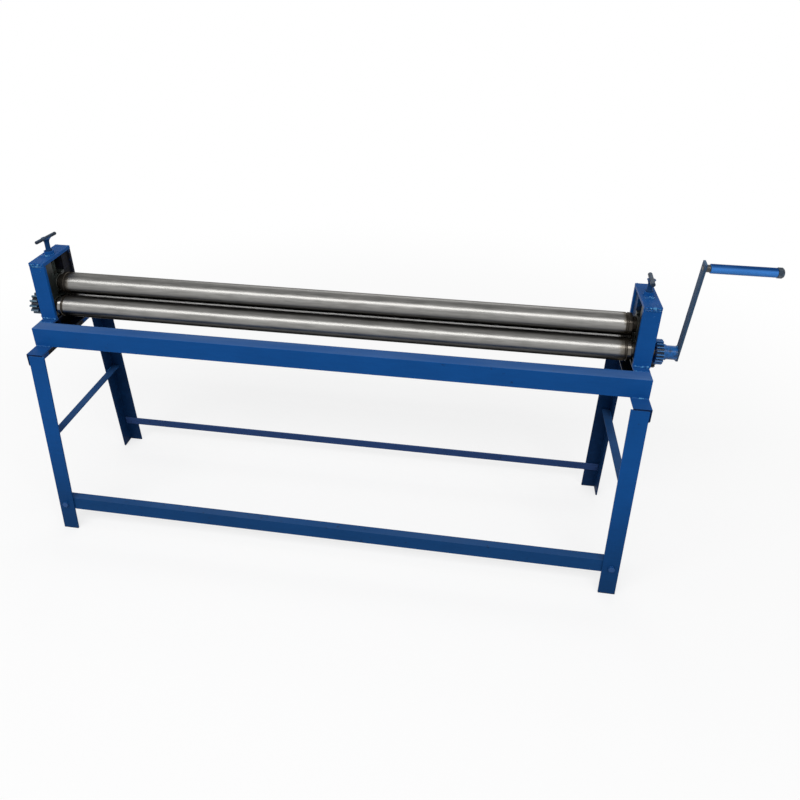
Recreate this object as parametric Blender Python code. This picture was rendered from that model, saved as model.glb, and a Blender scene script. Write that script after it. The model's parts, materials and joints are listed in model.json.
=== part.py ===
"""Hand-cranked plate rolling machine (slip roll) on an angle-iron stand.

Three steel rolls lie in two welded housings: two geared lower rolls and one upper roll that two
tee-handled screws press down. Machine datum while modelling: X = 0 half way along the rolls,
Y = 0 on the front face of the front beam, Z = 0 on the floor. The whole machine is then carried by
one empty, so that the finished model stands with its origin under the middle of its outline.
Lengths are in metres, angles in radians unless a name ends in _DEG.
"""

import math

import bmesh
import bpy
from mathutils import Matrix, Vector

# Driving dimensions
GAP = 0.0003                    # air left between two pieces that touch
RUN = 0.0003                    # radial running clearance of a shaft in its hole

# stand
STAND_HEIGHT = 0.502            # floor to the top of the end rails
LEG_WIDTH = 0.038               # both flanges of the leg angle
LEG_WALL = 0.004
LEG_SPLAY = 0.032               # how far each foot stands out beyond its leg's top
RAIL_WIDTH = 0.038              # flat flange of the end rail
RAIL_HEIGHT = 0.045             # hanging flange of the end rail
RAIL_WALL = 0.004
RAIL_OVERHANG = 0.038           # end rail beyond the beams, front and rear
RAIL_CORNER = 0.015             # cut-off lower corners of the hanging flange
BRACE_WIDTH = 0.020
BRACE_WALL = 0.003
BRACE_Z = 0.276                 # top of the side braces
FRONT_BAR_TOP_Z = 0.093
FRONT_BAR_HEIGHT = 0.033
FRONT_BAR_DEPTH = 0.020
FRONT_BAR_WALL = 0.003
REAR_BAR_TOP_Z = 0.086
REAR_BAR_HEIGHT = 0.022
REAR_BAR_WALL = 0.004
BAR_BOLT_DIA = 0.008
BAR_BOLT_AF = 0.013             # hexagon across its flats
BAR_BOLT_HEAD = 0.0053
BAR_NUT_HEIGHT = 0.0065
BAR_BOLT_INSET = 0.018          # bolt axis in from the leg's outer face
BAR_BOLT_TAIL = 0.003           # bolt beyond its nut

# frame that carries the housings
FRAME_LENGTH = 1.380            # over both beam ends
FRAME_DEPTH = 0.222             # over both beams
BEAM_HEIGHT = 0.047
BEAM_FLANGE = 0.031
BEAM_WALL = 0.004

# rolls
ROLL_DIA = 0.050
LOWER_SPACING = 0.056           # between the axes of the lower rolls
ROLL_NIP = 0.0043               # between the surfaces of the upper and a lower roll
ROLL_FRAME_CLEARANCE = 0.001    # lower rolls above the frame's top
ROLL_EDGE = 0.0012              # turned chamfer at each end of a roll
SHOULDER_DIA = 0.034
SHOULDER_LENGTH = 0.009
JOURNAL_DIA = 0.024
GEAR_SEAT_DIA = 0.020
GROOVE_FROM_END = 0.008
GROOVE_WIDTH = 0.005
GROOVE_DEPTH = 0.0013

# housings
HOUSING_WIDTH = 0.0365
HOUSING_OVERHANG = 0.003        # housing beyond the frame's end
HOUSING_INNER_GAP = 0.0065      # roll end to the housing's open side
HOUSING_DEPTH = 0.110
HOUSING_HEIGHT = 0.144
HOUSING_OFFSET = 0.009          # housing centre in front of the frame's centre
PLATE = 0.008                   # front, rear and top plates
SIDE_PLATE = 0.006
BLOCK_SETBACK = 0.004           # bearing blocks in from the housing's open side
LOWER_BLOCK_CAP = 0.018         # lower block above the lower axes
SLIDE_WIDTH = 0.040
SLIDE_BELOW = 0.018             # sliding block below and above the upper axis
SLIDE_ABOVE = 0.024
LIFT_DOWN = 0.0035              # travel of the upper roll from where it is photographed
LIFT_UP = 0.025

# pressure screws
SCREW_DIA = 0.014
SCREW_SETBACK = 0.018           # screw axis in from the housing's open side
SCREW_PITCH = 0.003
FOOT_DIA = 0.018
FOOT_HEIGHT = 0.0044
SLOT_LIP = 0.0035               # metal over the foot in the sliding block
SCREW_NUT_AF = 0.020
SCREW_NUT_HEIGHT = 0.009
TEE_LEFT_RISE = 0.031           # tee bar above the screw nut
TEE_RIGHT_RISE = 0.0265
TEE_LEFT_DIA = 0.008
TEE_RIGHT_DIA = 0.0095
TEE_LEFT_LENGTH = 0.064
TEE_RIGHT_LENGTH = 0.055
TEE_LEFT_NECK_DIA = 0.022       # flare of the screw's neck where it meets its tee bar
TEE_RIGHT_NECK_DIA = 0.016
NECK_WAIST_DIA = 0.0112
NECK_FLARE_HEIGHT = 0.013
TEE_LEFT_DEG = -8.0
TEE_RIGHT_DEG = -4.0

# gear trains
PRESSURE_ANGLE_DEG = 20.0
TOOTH_BACKLASH = 0.0004         # taken off each tooth's thickness
TOOTH_TOP = 0.85                # addendum over module
TOOTH_ROOT = 1.20               # dedendum over module
RIGHT_MODULE = 0.0025
RIGHT_ROLL_TEETH = 20
RIGHT_IDLER_TEETH = 15
RIGHT_FACE = 0.0157             # front gear; the idler and the rear gear are narrower
RIGHT_IDLER_FACE = 0.0115
RIGHT_REAR_FACE = 0.008
RIGHT_PHASE_DEG = 3.6
LEFT_MODULE = 0.00375
LEFT_ROLL_TEETH = 12
LEFT_IDLER_TEETH = 11
LEFT_FACE = 0.0187
LEFT_PHASE_DEG = 21.5
LUG_THICK = 0.006
LUG_TO_GEAR = 0.001
LUG_MARGIN = 0.010              # lug below the idler's pin hole
LUG_RISE = 0.014                # lug above the frame's top
LUG_SIDE_CLEARANCE = 0.001
PIN_DIA = 0.012
PIN_HEAD_DIA = 0.019
PIN_HEAD = 0.004
SEAT_TAIL = 0.002               # shaft beyond its gear

# crank
HUB_FLANGE_DIA = 0.034
HUB_FLANGE = 0.007
HUB_DIA = 0.030
HUB_LENGTH = 0.022
ARM_WIDTH = 0.019
ARM_THICK = 0.005
ARM_BELOW = 0.016               # arm beyond the roll's axis
ARM_ABOVE = 0.013               # arm beyond the handle's axis
CRANK_RADIUS = 0.219
CRANK_TILT_DEG = 10.0           # arm leans to the front from upright
STUD_DIA = 0.012
STUD_END_DIA = 0.010            # turned-down end in the arm
STUD_COLLAR_DIA = 0.015
STUD_COLLAR = 0.0081
GRIP_DIA = 0.019
GRIP_LENGTH = 0.1207
GRIP_EDGE = 0.0006
GRIP_PLAY = 0.0006
END_NUT_AF = 0.0185
END_NUT_HEIGHT = 0.0112
END_NUT_CHAMFER = 0.0025

# Derived positions
HALF_FRAME = FRAME_LENGTH / 2
FRAME_TOP = STAND_HEIGHT + BEAM_HEIGHT
HOUSING_OUT = HALF_FRAME + HOUSING_OVERHANG
HOUSING_IN = HOUSING_OUT - HOUSING_WIDTH
HALF_ROLL = HOUSING_IN - HOUSING_INNER_GAP
HOUSING_Y = FRAME_DEPTH / 2 - HOUSING_OFFSET
HOUSING_FRONT = HOUSING_Y - HOUSING_DEPTH / 2
HOUSING_REAR = HOUSING_Y + HOUSING_DEPTH / 2
HOUSING_TOP = FRAME_TOP + HOUSING_HEIGHT
LOWER_Z = FRAME_TOP + ROLL_FRAME_CLEARANCE + ROLL_DIA / 2
UPPER_Z = LOWER_Z + math.sqrt((ROLL_DIA + ROLL_NIP) ** 2 - (LOWER_SPACING / 2) ** 2)
FRONT_Y = HOUSING_Y - LOWER_SPACING / 2
REAR_Y = HOUSING_Y + LOWER_SPACING / 2
LEG_OUT = HALF_FRAME - RAIL_WALL - GAP
LEG_TOP = STAND_HEIGHT - RAIL_WALL - GAP
LEAN = math.atan2(LEG_SPLAY, LEG_TOP)
SIDE_IN = HOUSING_OUT - SIDE_PLATE
BLOCK_IN = HOUSING_IN + BLOCK_SETBACK
BLOCK_OUT = SIDE_IN - GAP
SCREW_X = HOUSING_IN + SCREW_SETBACK
SLIDE_TOP = UPPER_Z + SLIDE_ABOVE
NUT_TOP = HOUSING_TOP + GAP + SCREW_NUT_HEIGHT
LUG_OUT = HOUSING_OUT + GAP + LUG_THICK
GEAR_IN = LUG_OUT + LUG_TO_GEAR
RIGHT_GEAR_OUT = GEAR_IN + RIGHT_FACE
LEFT_GEAR_OUT = GEAR_IN + LEFT_FACE
HUB_IN = RIGHT_GEAR_OUT + GAP
HUB_OUT = HUB_IN + HUB_FLANGE + HUB_LENGTH
ARM_IN = HUB_OUT + GAP
ARM_OUT = ARM_IN + ARM_THICK
COLLAR_IN = ARM_OUT + GAP
GRIP_IN = COLLAR_IN + STUD_COLLAR + GRIP_PLAY / 2
GRIP_OUT = GRIP_IN + GRIP_LENGTH
END_NUT_IN = GRIP_OUT + GRIP_PLAY / 2
END_NUT_OUT = END_NUT_IN + END_NUT_HEIGHT
CRANK_TILT = math.radians(CRANK_TILT_DEG)
HANDLE_Y = FRONT_Y - CRANK_RADIUS * math.sin(CRANK_TILT)
HANDLE_Z = LOWER_Z + CRANK_RADIUS * math.cos(CRANK_TILT)
LEFT_END = -(LEFT_GEAR_OUT + GAP + PIN_HEAD)


def idler_z(module: float, roll_teeth: int, idler_teeth: int) -> float:
    """Height of an idler that hangs between the two lower rolls and meshes with both gears."""
    centres = module * (roll_teeth + idler_teeth) / 2
    return LOWER_Z - math.sqrt(centres ** 2 - (LOWER_SPACING / 2) ** 2)


RIGHT_IDLER_Z = idler_z(RIGHT_MODULE, RIGHT_ROLL_TEETH, RIGHT_IDLER_TEETH)
LEFT_IDLER_Z = idler_z(LEFT_MODULE, LEFT_ROLL_TEETH, LEFT_IDLER_TEETH)

COLOURS = {
    # name: (base colour, metallic, roughness)
    "paint_blue": ((0.012, 0.075, 0.26, 1.0), 0.0, 0.38),
    "paint_bright": ((0.02, 0.13, 0.42, 1.0), 0.0, 0.32),
    "paint_grey_blue": ((0.055, 0.085, 0.15, 1.0), 0.1, 0.45),
    "roll_steel": ((0.52, 0.50, 0.47, 1.0), 1.0, 0.28),
    "bearing_steel": ((0.16, 0.17, 0.15, 1.0), 0.8, 0.5),
    "dark_steel": ((0.05, 0.055, 0.065, 1.0), 0.7, 0.5),
}


# Modelling helpers
def clear_scene() -> None:
    """Remove every object, so that the script can be run again in an open file."""
    for obj in list(bpy.data.objects):
        bpy.data.objects.remove(obj, do_unlink=True)


def make_datum() -> bpy.types.Object:
    """The empty that carries the machine and centres its outline over the origin."""
    empty = bpy.data.objects.new("machine_datum", None)
    bpy.context.scene.collection.objects.link(empty)
    head_front = (bolt_centre(1).y - (LEG_WALL + GAP + BAR_BOLT_HEAD) * math.cos(LEAN)
                  - BAR_BOLT_AF / 2 * math.sin(LEAN))
    front = min(-RAIL_OVERHANG - LEG_SPLAY, head_front)
    rear = FRAME_DEPTH + RAIL_OVERHANG + LEG_SPLAY
    empty.location = -Vector(((LEFT_END + END_NUT_OUT) / 2, (front + rear) / 2, 0.0))
    return empty


def finish(name: str, bm: bmesh.types.BMesh, look: str, origin: Vector,
           smooth: bool = False) -> bpy.types.Object:
    """Turn a bmesh, drawn in machine coordinates, into an object whose origin is given."""
    bmesh.ops.recalc_face_normals(bm, faces=bm.faces)
    bmesh.ops.translate(bm, vec=-origin, verts=bm.verts)
    mesh = bpy.data.meshes.new(name)
    bm.to_mesh(mesh)
    bm.free()
    if smooth:
        mesh.shade_smooth()
        mesh.set_sharp_from_angle(angle=math.radians(32))
    obj = bpy.data.objects.new(name, mesh)
    bpy.context.scene.collection.objects.link(obj)
    obj.location = origin
    obj.parent = DATUM
    colour, metallic, roughness = COLOURS[look]
    mat = bpy.data.materials.new(name)
    mat.use_nodes = True
    shader = mat.node_tree.nodes["Principled BSDF"]
    shader.inputs["Base Color"].default_value = colour
    shader.inputs["Metallic"].default_value = metallic
    shader.inputs["Roughness"].default_value = roughness
    mesh.materials.append(mat)
    return obj


def extrude(bm: bmesh.types.BMesh, loop: list, shift: Vector) -> None:
    """Add a prism: a flat loop of 3-D points, swept by a vector."""
    face = bm.faces.new([bm.verts.new(p) for p in loop])
    swept = bmesh.ops.extrude_face_region(bm, geom=[face])
    moved = [v for v in swept["geom"] if isinstance(v, bmesh.types.BMVert)]
    bmesh.ops.translate(bm, vec=shift, verts=moved)


def along_x(name: str, outline: list, x0: float, x1: float, look: str,
            origin: Vector | None = None) -> bpy.types.Object:
    """A prism whose (y, z) outline runs from x0 to x1."""
    bm = bmesh.new()
    extrude(bm, [Vector((x0, y, z)) for y, z in outline], Vector((x1 - x0, 0, 0)))
    return finish(name, bm, look, origin or Vector((0, 0, 0)))


def along_y(name: str, outline: list, y0: float, y1: float, look: str) -> bpy.types.Object:
    """A prism whose (x, z) outline runs from y0 to y1."""
    bm = bmesh.new()
    extrude(bm, [Vector((x, y0, z)) for x, z in outline], Vector((0, y1 - y0, 0)))
    return finish(name, bm, look, Vector((0, 0, 0)))


def block(name: str, x: tuple, y: tuple, z: tuple, look: str,
          origin: Vector | None = None) -> bpy.types.Object:
    """A rectangular block between two limits on each axis."""
    outline = [(y[0], z[0]), (y[1], z[0]), (y[1], z[1]), (y[0], z[1])]
    return along_x(name, outline, x[0], x[1], look, origin)


def angle_profile(wide: float, tall: float, wall: float) -> list:
    """L-section with its corner at (0, 0), flanges towards +u (wide) and -v (tall)."""
    return [(0, 0), (wide, 0), (wide, -wall), (wall, -wall), (wall, -tall), (0, -tall)]


def spin_profile(bm: bmesh.types.BMesh, profile: list, axis: str, centre: Vector,
                 steps: int) -> None:
    """Turn (along, radius) points round the X or Z axis through centre; ends close on the axis."""
    direction = Vector((1, 0, 0)) if axis == "X" else Vector((0, 0, 1))
    radial = Vector((0, 0, 1)) if axis == "X" else Vector((1, 0, 0))
    points = [(profile[0][0], 0.0), *profile, (profile[-1][0], 0.0)]
    base = centre - direction * centre.dot(direction)
    verts = [bm.verts.new(base + direction * a + radial * r) for a, r in points]
    edges = [bm.edges.new(pair) for pair in zip(verts, verts[1:])]
    bmesh.ops.spin(bm, geom=verts + edges, cent=centre, axis=direction,
                   angle=2 * math.pi, steps=steps, use_merge=True)
    bmesh.ops.remove_doubles(bm, verts=bm.verts, dist=1e-6)


def turned(name: str, profile: list, axis: str, centre: Vector, look: str,
           steps: int = 32) -> bpy.types.Object:
    """A lathe-turned solid whose origin is on its own axis."""
    bm = bmesh.new()
    spin_profile(bm, profile, axis, centre, steps)
    return finish(name, bm, look, centre, smooth=True)


def cutter_cylinder(axis: str, centre: Vector, radius: float, length: float,
                    steps: int = 32) -> bpy.types.Object:
    """A round tool for one Boolean cut, centred on a point and square to an axis."""
    bm = bmesh.new()
    bmesh.ops.create_cone(bm, cap_ends=True, segments=steps, radius1=radius, radius2=radius,
                          depth=length)
    turn = {"X": Matrix.Rotation(math.pi / 2, 4, "Y"), "Y": Matrix.Rotation(math.pi / 2, 4, "X"),
            "Z": Matrix.Identity(4)}[axis]
    bmesh.ops.transform(bm, matrix=Matrix.Translation(centre) @ turn, verts=bm.verts)
    return tool_from(bm)


def cutter_block(x: tuple, y: tuple, z: tuple) -> bpy.types.Object:
    """A rectangular tool for one Boolean cut."""
    bm = bmesh.new()
    loop = [Vector((x[0], y[0], z[0])), Vector((x[0], y[1], z[0])),
            Vector((x[0], y[1], z[1])), Vector((x[0], y[0], z[1]))]
    extrude(bm, loop, Vector((x[1] - x[0], 0, 0)))
    return tool_from(bm)


def tool_from(bm: bmesh.types.BMesh) -> bpy.types.Object:
    """Keep a cutter as a hidden wire object beside the machine."""
    bmesh.ops.recalc_face_normals(bm, faces=bm.faces)
    mesh = bpy.data.meshes.new("tool")
    bm.to_mesh(mesh)
    bm.free()
    tool = bpy.data.objects.new("tool", mesh)
    bpy.context.scene.collection.objects.link(tool)
    tool.parent = DATUM
    tool.hide_render = True
    tool.display_type = "WIRE"
    return tool


def shape(obj: bpy.types.Object, tools: list, operation: str = "DIFFERENCE") -> bpy.types.Object:
    """Apply Boolean tools to an object with live EXACT modifiers."""
    for tool in tools:
        mod = obj.modifiers.new("cut", "BOOLEAN")
        mod.operation = operation
        mod.solver = "EXACT"
        mod.object = tool
    return obj


def soften(obj: bpy.types.Object, width: float) -> bpy.types.Object:
    """Break an object's sharp edges by one chamfer."""
    mod = obj.modifiers.new("edge", "BEVEL")
    mod.width = width
    mod.segments = 1
    mod.limit_method = "ANGLE"
    mod.angle_limit = math.radians(60)
    return obj


def hexagon(across_flats: float, phase: float = 0.0) -> list:
    """Corner points of a hexagon given across its flats."""
    r = across_flats / math.sqrt(3)
    return [(r * math.cos(phase + i * math.pi / 3), r * math.sin(phase + i * math.pi / 3))
            for i in range(6)]


def mirrored(side: int, low: float, high: float) -> tuple:
    """X limits of a piece on the right (side 1) or mirrored to the left (side -1)."""
    return (low, high) if side > 0 else (-high, -low)


# Stand
def leg_shift(z: float) -> float:
    """How far a leg has leaned outwards at a height."""
    return LEG_SPLAY * (1 - z / LEG_TOP)


def make_leg(name: str, side: int, front: bool) -> None:
    """An angle-iron leg that leans outwards, cut level at the floor and under the rail."""
    bm = bmesh.new()
    facing = -1 if front else 1
    top_y = -RAIL_OVERHANG if front else FRAME_DEPTH + RAIL_OVERHANG
    outline = [(0, 0), (LEG_WIDTH, 0), (LEG_WIDTH, LEG_WALL), (LEG_WALL, LEG_WALL),
               (LEG_WALL, LEG_WIDTH), (0, LEG_WIDTH)]
    foot = top_y + facing * LEG_SPLAY
    loop = [Vector((side * (LEG_OUT - u), foot - facing * v, 0.0)) for u, v in outline]
    extrude(bm, loop, Vector((0, -facing * LEG_SPLAY, LEG_TOP)))
    leg = finish(name, bm, "paint_blue", Vector((0, 0, 0)))
    if front:
        shape(leg, [bolt_hole(side)])


def make_end_rail(name: str, side: int) -> None:
    """The angle across two legs: flat flange on top, hanging flange with cut-off corners."""
    y0, y1 = -RAIL_OVERHANG, FRAME_DEPTH + RAIL_OVERHANG
    low = STAND_HEIGHT - RAIL_HEIGHT
    web = [(y0, STAND_HEIGHT), (y0, low + RAIL_CORNER), (y0 + RAIL_CORNER, low),
           (y1 - RAIL_CORNER, low), (y1, low + RAIL_CORNER), (y1, STAND_HEIGHT)]
    rail = along_x(name, web, *mirrored(side, HALF_FRAME - RAIL_WALL, HALF_FRAME), "paint_blue")
    flat = cutter_block(mirrored(side, HALF_FRAME - RAIL_WIDTH, HALF_FRAME - RAIL_WALL / 2),
                        (y0, y1), (STAND_HEIGHT - RAIL_WALL, STAND_HEIGHT))
    shape(rail, [flat], "UNION")


def make_brace(name: str, side: int) -> None:
    """The small angle between a front and a rear leg, lapped on their side flanges."""
    outer = LEG_OUT - LEG_WALL - GAP
    outline = [(side * (outer - u), BRACE_Z + v)
               for u, v in angle_profile(BRACE_WIDTH, BRACE_WIDTH, BRACE_WALL)]
    reach = leg_shift(BRACE_Z) - LEG_WALL - GAP
    along_y(name, outline, -RAIL_OVERHANG - reach, FRAME_DEPTH + RAIL_OVERHANG + reach,
            "paint_blue")


def leaned(points: list, y: float, z: float, lean: float) -> list:
    """Turn (y, z) points by a lean about a (y, z) corner."""
    c, s = math.cos(lean), math.sin(lean)
    return [(y + u * c - v * s, z + u * s + v * c) for u, v in points]


def front_bar_seat(z: float) -> float:
    """Y of the back face of the front legs' front flange at a height."""
    return -RAIL_OVERHANG - leg_shift(z) + LEG_WALL / math.cos(LEAN)


def bolt_centre(side: int) -> Vector:
    """Where a bar bolt's axis meets the plane behind the front leg's flange."""
    z = FRONT_BAR_TOP_Z - FRONT_BAR_HEIGHT / 2
    return Vector((side * (LEG_OUT - BAR_BOLT_INSET), front_bar_seat(z), z))


def bolt_frame(side: int) -> Matrix:
    """Local frame of a bar bolt: +Z points out of the leg's front face."""
    return (Matrix.Translation(bolt_centre(side)) @ Matrix.Rotation(-LEAN, 4, "X")
            @ Matrix.Rotation(math.pi / 2, 4, "X"))


def bolt_hole(side: int) -> bpy.types.Object:
    """Clearance hole for a bar bolt, through the leg and the bar."""
    bm = bmesh.new()
    r = BAR_BOLT_DIA / 2 + GAP
    bmesh.ops.create_cone(bm, cap_ends=True, segments=20, radius1=r, radius2=r,
                          depth=2 * (LEG_WALL + FRONT_BAR_WALL) + 0.004)
    bmesh.ops.transform(bm, matrix=bolt_frame(side), verts=bm.verts)
    return tool_from(bm)


def make_lower_bars() -> None:
    """The angle bolted behind the front legs and the flat bar welded before the rear legs."""
    half = LEG_OUT - LEG_WALL - GAP
    face = front_bar_seat(FRONT_BAR_TOP_Z) + GAP / math.cos(LEAN)
    profile = angle_profile(FRONT_BAR_DEPTH, FRONT_BAR_HEIGHT, FRONT_BAR_WALL)
    outline = leaned(profile, face, FRONT_BAR_TOP_Z, -LEAN)
    bar = along_x("lower_front_bar", outline, -half, half, "paint_blue")
    shape(bar, [bolt_hole(-1), bolt_hole(1)])
    back = (FRAME_DEPTH + RAIL_OVERHANG + leg_shift(REAR_BAR_TOP_Z)
            - (LEG_WALL + GAP) / math.cos(LEAN))
    flat = [(0, 0), (-REAR_BAR_WALL, 0), (-REAR_BAR_WALL, -REAR_BAR_HEIGHT), (0, -REAR_BAR_HEIGHT)]
    along_x("lower_rear_bar", leaned(flat, back, REAR_BAR_TOP_Z, LEAN), -half, half, "paint_blue")


def make_bar_bolt(suffix: str, side: int) -> None:
    """Hexagon bolt through leg and bar, and its nut behind the bar."""
    frame = bolt_frame(side)
    front = LEG_WALL + GAP
    back = -(FRONT_BAR_WALL + 2 * GAP)
    tail = back - BAR_NUT_HEIGHT - BAR_BOLT_TAIL
    bm = bmesh.new()
    extrude(bm, [Vector((x, y, front)) for x, y in hexagon(BAR_BOLT_AF)],
            Vector((0, 0, BAR_BOLT_HEAD)))
    bmesh.ops.transform(bm, matrix=frame, verts=bm.verts)
    bolt = finish("bar_bolt_" + suffix, bm, "dark_steel", Vector((0, 0, 0)))
    bm = bmesh.new()
    length = front + BAR_BOLT_HEAD / 2 - tail
    bmesh.ops.create_cone(bm, cap_ends=True, segments=20, radius1=BAR_BOLT_DIA / 2,
                          radius2=BAR_BOLT_DIA / 2, depth=length)
    middle = Matrix.Translation((0, 0, tail + length / 2))
    bmesh.ops.transform(bm, matrix=frame @ middle, verts=bm.verts)
    shape(bolt, [tool_from(bm)], "UNION")
    bm = bmesh.new()
    extrude(bm, [Vector((x, y, back)) for x, y in hexagon(BAR_BOLT_AF)],
            Vector((0, 0, -BAR_NUT_HEIGHT)))
    bmesh.ops.transform(bm, matrix=frame, verts=bm.verts)
    nut = finish("bar_nut_" + suffix, bm, "dark_steel", Vector((0, 0, 0)))
    bm = bmesh.new()
    r = BAR_BOLT_DIA / 2 + RUN
    bmesh.ops.create_cone(bm, cap_ends=True, segments=20, radius1=r, radius2=r,
                          depth=4 * BAR_NUT_HEIGHT)
    bmesh.ops.transform(bm, matrix=frame @ Matrix.Translation((0, 0, back)), verts=bm.verts)
    shape(nut, [tool_from(bm)])


# Frame
def make_beams() -> None:
    """Front and rear angle beams, hanging flanges outwards, flat flanges towards the rolls."""
    low = STAND_HEIGHT + GAP
    front = [(y, FRAME_TOP + v)
             for y, v in angle_profile(BEAM_FLANGE, FRAME_TOP - low, BEAM_WALL)]
    rear = [(FRAME_DEPTH - y, z) for y, z in front]
    along_x("beam_front", front, -HALF_FRAME, HALF_FRAME, "paint_blue")
    along_x("beam_rear", rear, -HALF_FRAME, HALF_FRAME, "paint_blue")


def make_frame_end(name: str, side: int) -> None:
    """Coped angle between the beams: its flat flange carries the housing."""
    low, under = STAND_HEIGHT + GAP, FRAME_TOP - BEAM_WALL - GAP
    y0, y1 = BEAM_WALL + GAP, FRAME_DEPTH - BEAM_WALL - GAP
    f0, f1 = BEAM_FLANGE + GAP, FRAME_DEPTH - BEAM_FLANGE - GAP
    web = [(y0, low), (y1, low), (y1, under), (f1, under), (f1, FRAME_TOP), (f0, FRAME_TOP),
           (f0, under), (y0, under)]
    end = along_x(name, web, *mirrored(side, HALF_FRAME - BEAM_WALL, HALF_FRAME), "paint_blue")
    flat = cutter_block(mirrored(side, HOUSING_IN, HALF_FRAME - BEAM_WALL / 2), (f0, f1),
                        (FRAME_TOP - BEAM_WALL, FRAME_TOP))
    shape(end, [flat], "UNION")


# Housings
def make_housing(suffix: str, side: int) -> None:
    """Front, rear and top plates of one housing, and the side plate that closes it outside."""
    x = mirrored(side, HOUSING_IN, HOUSING_OUT)
    base, under = FRAME_TOP + GAP, HOUSING_TOP - PLATE
    soften(block("housing_front_" + suffix, x, (HOUSING_FRONT, HOUSING_FRONT + PLATE),
                 (base, under - GAP), "paint_blue"), 0.0006)
    soften(block("housing_rear_" + suffix, x, (HOUSING_REAR - PLATE, HOUSING_REAR),
                 (base, under - GAP), "paint_blue"), 0.0006)
    top = block("housing_top_" + suffix, x, (HOUSING_FRONT, HOUSING_REAR), (under, HOUSING_TOP),
                "paint_blue")
    shape(top, [cutter_cylinder("Z", Vector((side * SCREW_X, HOUSING_Y, under)),
                                SCREW_DIA / 2 + 2 * GAP, 4 * PLATE, 28)])
    plate = block("housing_side_" + suffix, mirrored(side, SIDE_IN, HOUSING_OUT),
                  (HOUSING_FRONT + PLATE + GAP, HOUSING_REAR - PLATE - GAP),
                  (base, under - GAP), "bearing_steel")
    shape(plate, [cutter_cylinder("X", Vector((side * SIDE_IN, y, LOWER_Z)),
                                  JOURNAL_DIA / 2 + 2 * RUN, 4 * SIDE_PLATE, 36)
                  for y in (FRONT_Y, REAR_Y)])


def make_bearings(suffix: str, side: int) -> None:
    """Fixed lower bearing block, guide bars on top of it and the sliding upper block."""
    x = mirrored(side, BLOCK_IN, BLOCK_OUT)
    y0, y1 = HOUSING_FRONT + PLATE + GAP, HOUSING_REAR - PLATE - GAP
    top = LOWER_Z + LOWER_BLOCK_CAP
    lower = block("lower_bearing_" + suffix, x, (y0, y1), (FRAME_TOP + GAP, top),
                  "bearing_steel")
    middle = side * (BLOCK_IN + BLOCK_OUT) / 2
    shape(lower, [cutter_cylinder("X", Vector((middle, y, LOWER_Z)), JOURNAL_DIA / 2 + RUN,
                                  0.1, 48) for y in (FRONT_Y, REAR_Y)])
    z = (top + GAP, HOUSING_TOP - PLATE - GAP)
    edge = SLIDE_WIDTH / 2 + GAP
    block("guide_front_" + suffix, x, (y0, HOUSING_Y - edge), z, "bearing_steel")
    block("guide_rear_" + suffix, x, (HOUSING_Y + edge, y1), z, "bearing_steel")
    origin = Vector((side * SCREW_X, HOUSING_Y, UPPER_Z))
    slide = block("slide_block_" + suffix, x,
                  (HOUSING_Y - SLIDE_WIDTH / 2, HOUSING_Y + SLIDE_WIDTH / 2),
                  (UPPER_Z - SLIDE_BELOW, SLIDE_TOP), "bearing_steel", origin)
    bore = cutter_cylinder("X", Vector((middle, HOUSING_Y, UPPER_Z)), JOURNAL_DIA / 2 + RUN,
                           0.1, 48)
    shape(slide, [bore, *tee_slot(side)])


def tee_slot(side: int) -> list:
    """Tools for the slot, open to the rolls, that holds the foot of a pressure screw."""
    lip = SLIDE_TOP - SLOT_LIP
    floor = lip - FOOT_HEIGHT - 2 * GAP
    neck, foot = SCREW_DIA / 2 + 2 * GAP, FOOT_DIA / 2 + 2 * GAP
    mouth = BLOCK_IN - 0.01
    tools = []
    for half, low, high in ((neck, floor + GAP, SLIDE_TOP + 0.01), (foot, floor, lip)):
        tools.append(cutter_block(mirrored(side, mouth, SCREW_X), (HOUSING_Y - half,
                                  HOUSING_Y + half), (low, high)))
        tools.append(cutter_cylinder("Z", Vector((side * SCREW_X, HOUSING_Y, (low + high) / 2)),
                                     half, high - low, 28))
    return tools


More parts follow.
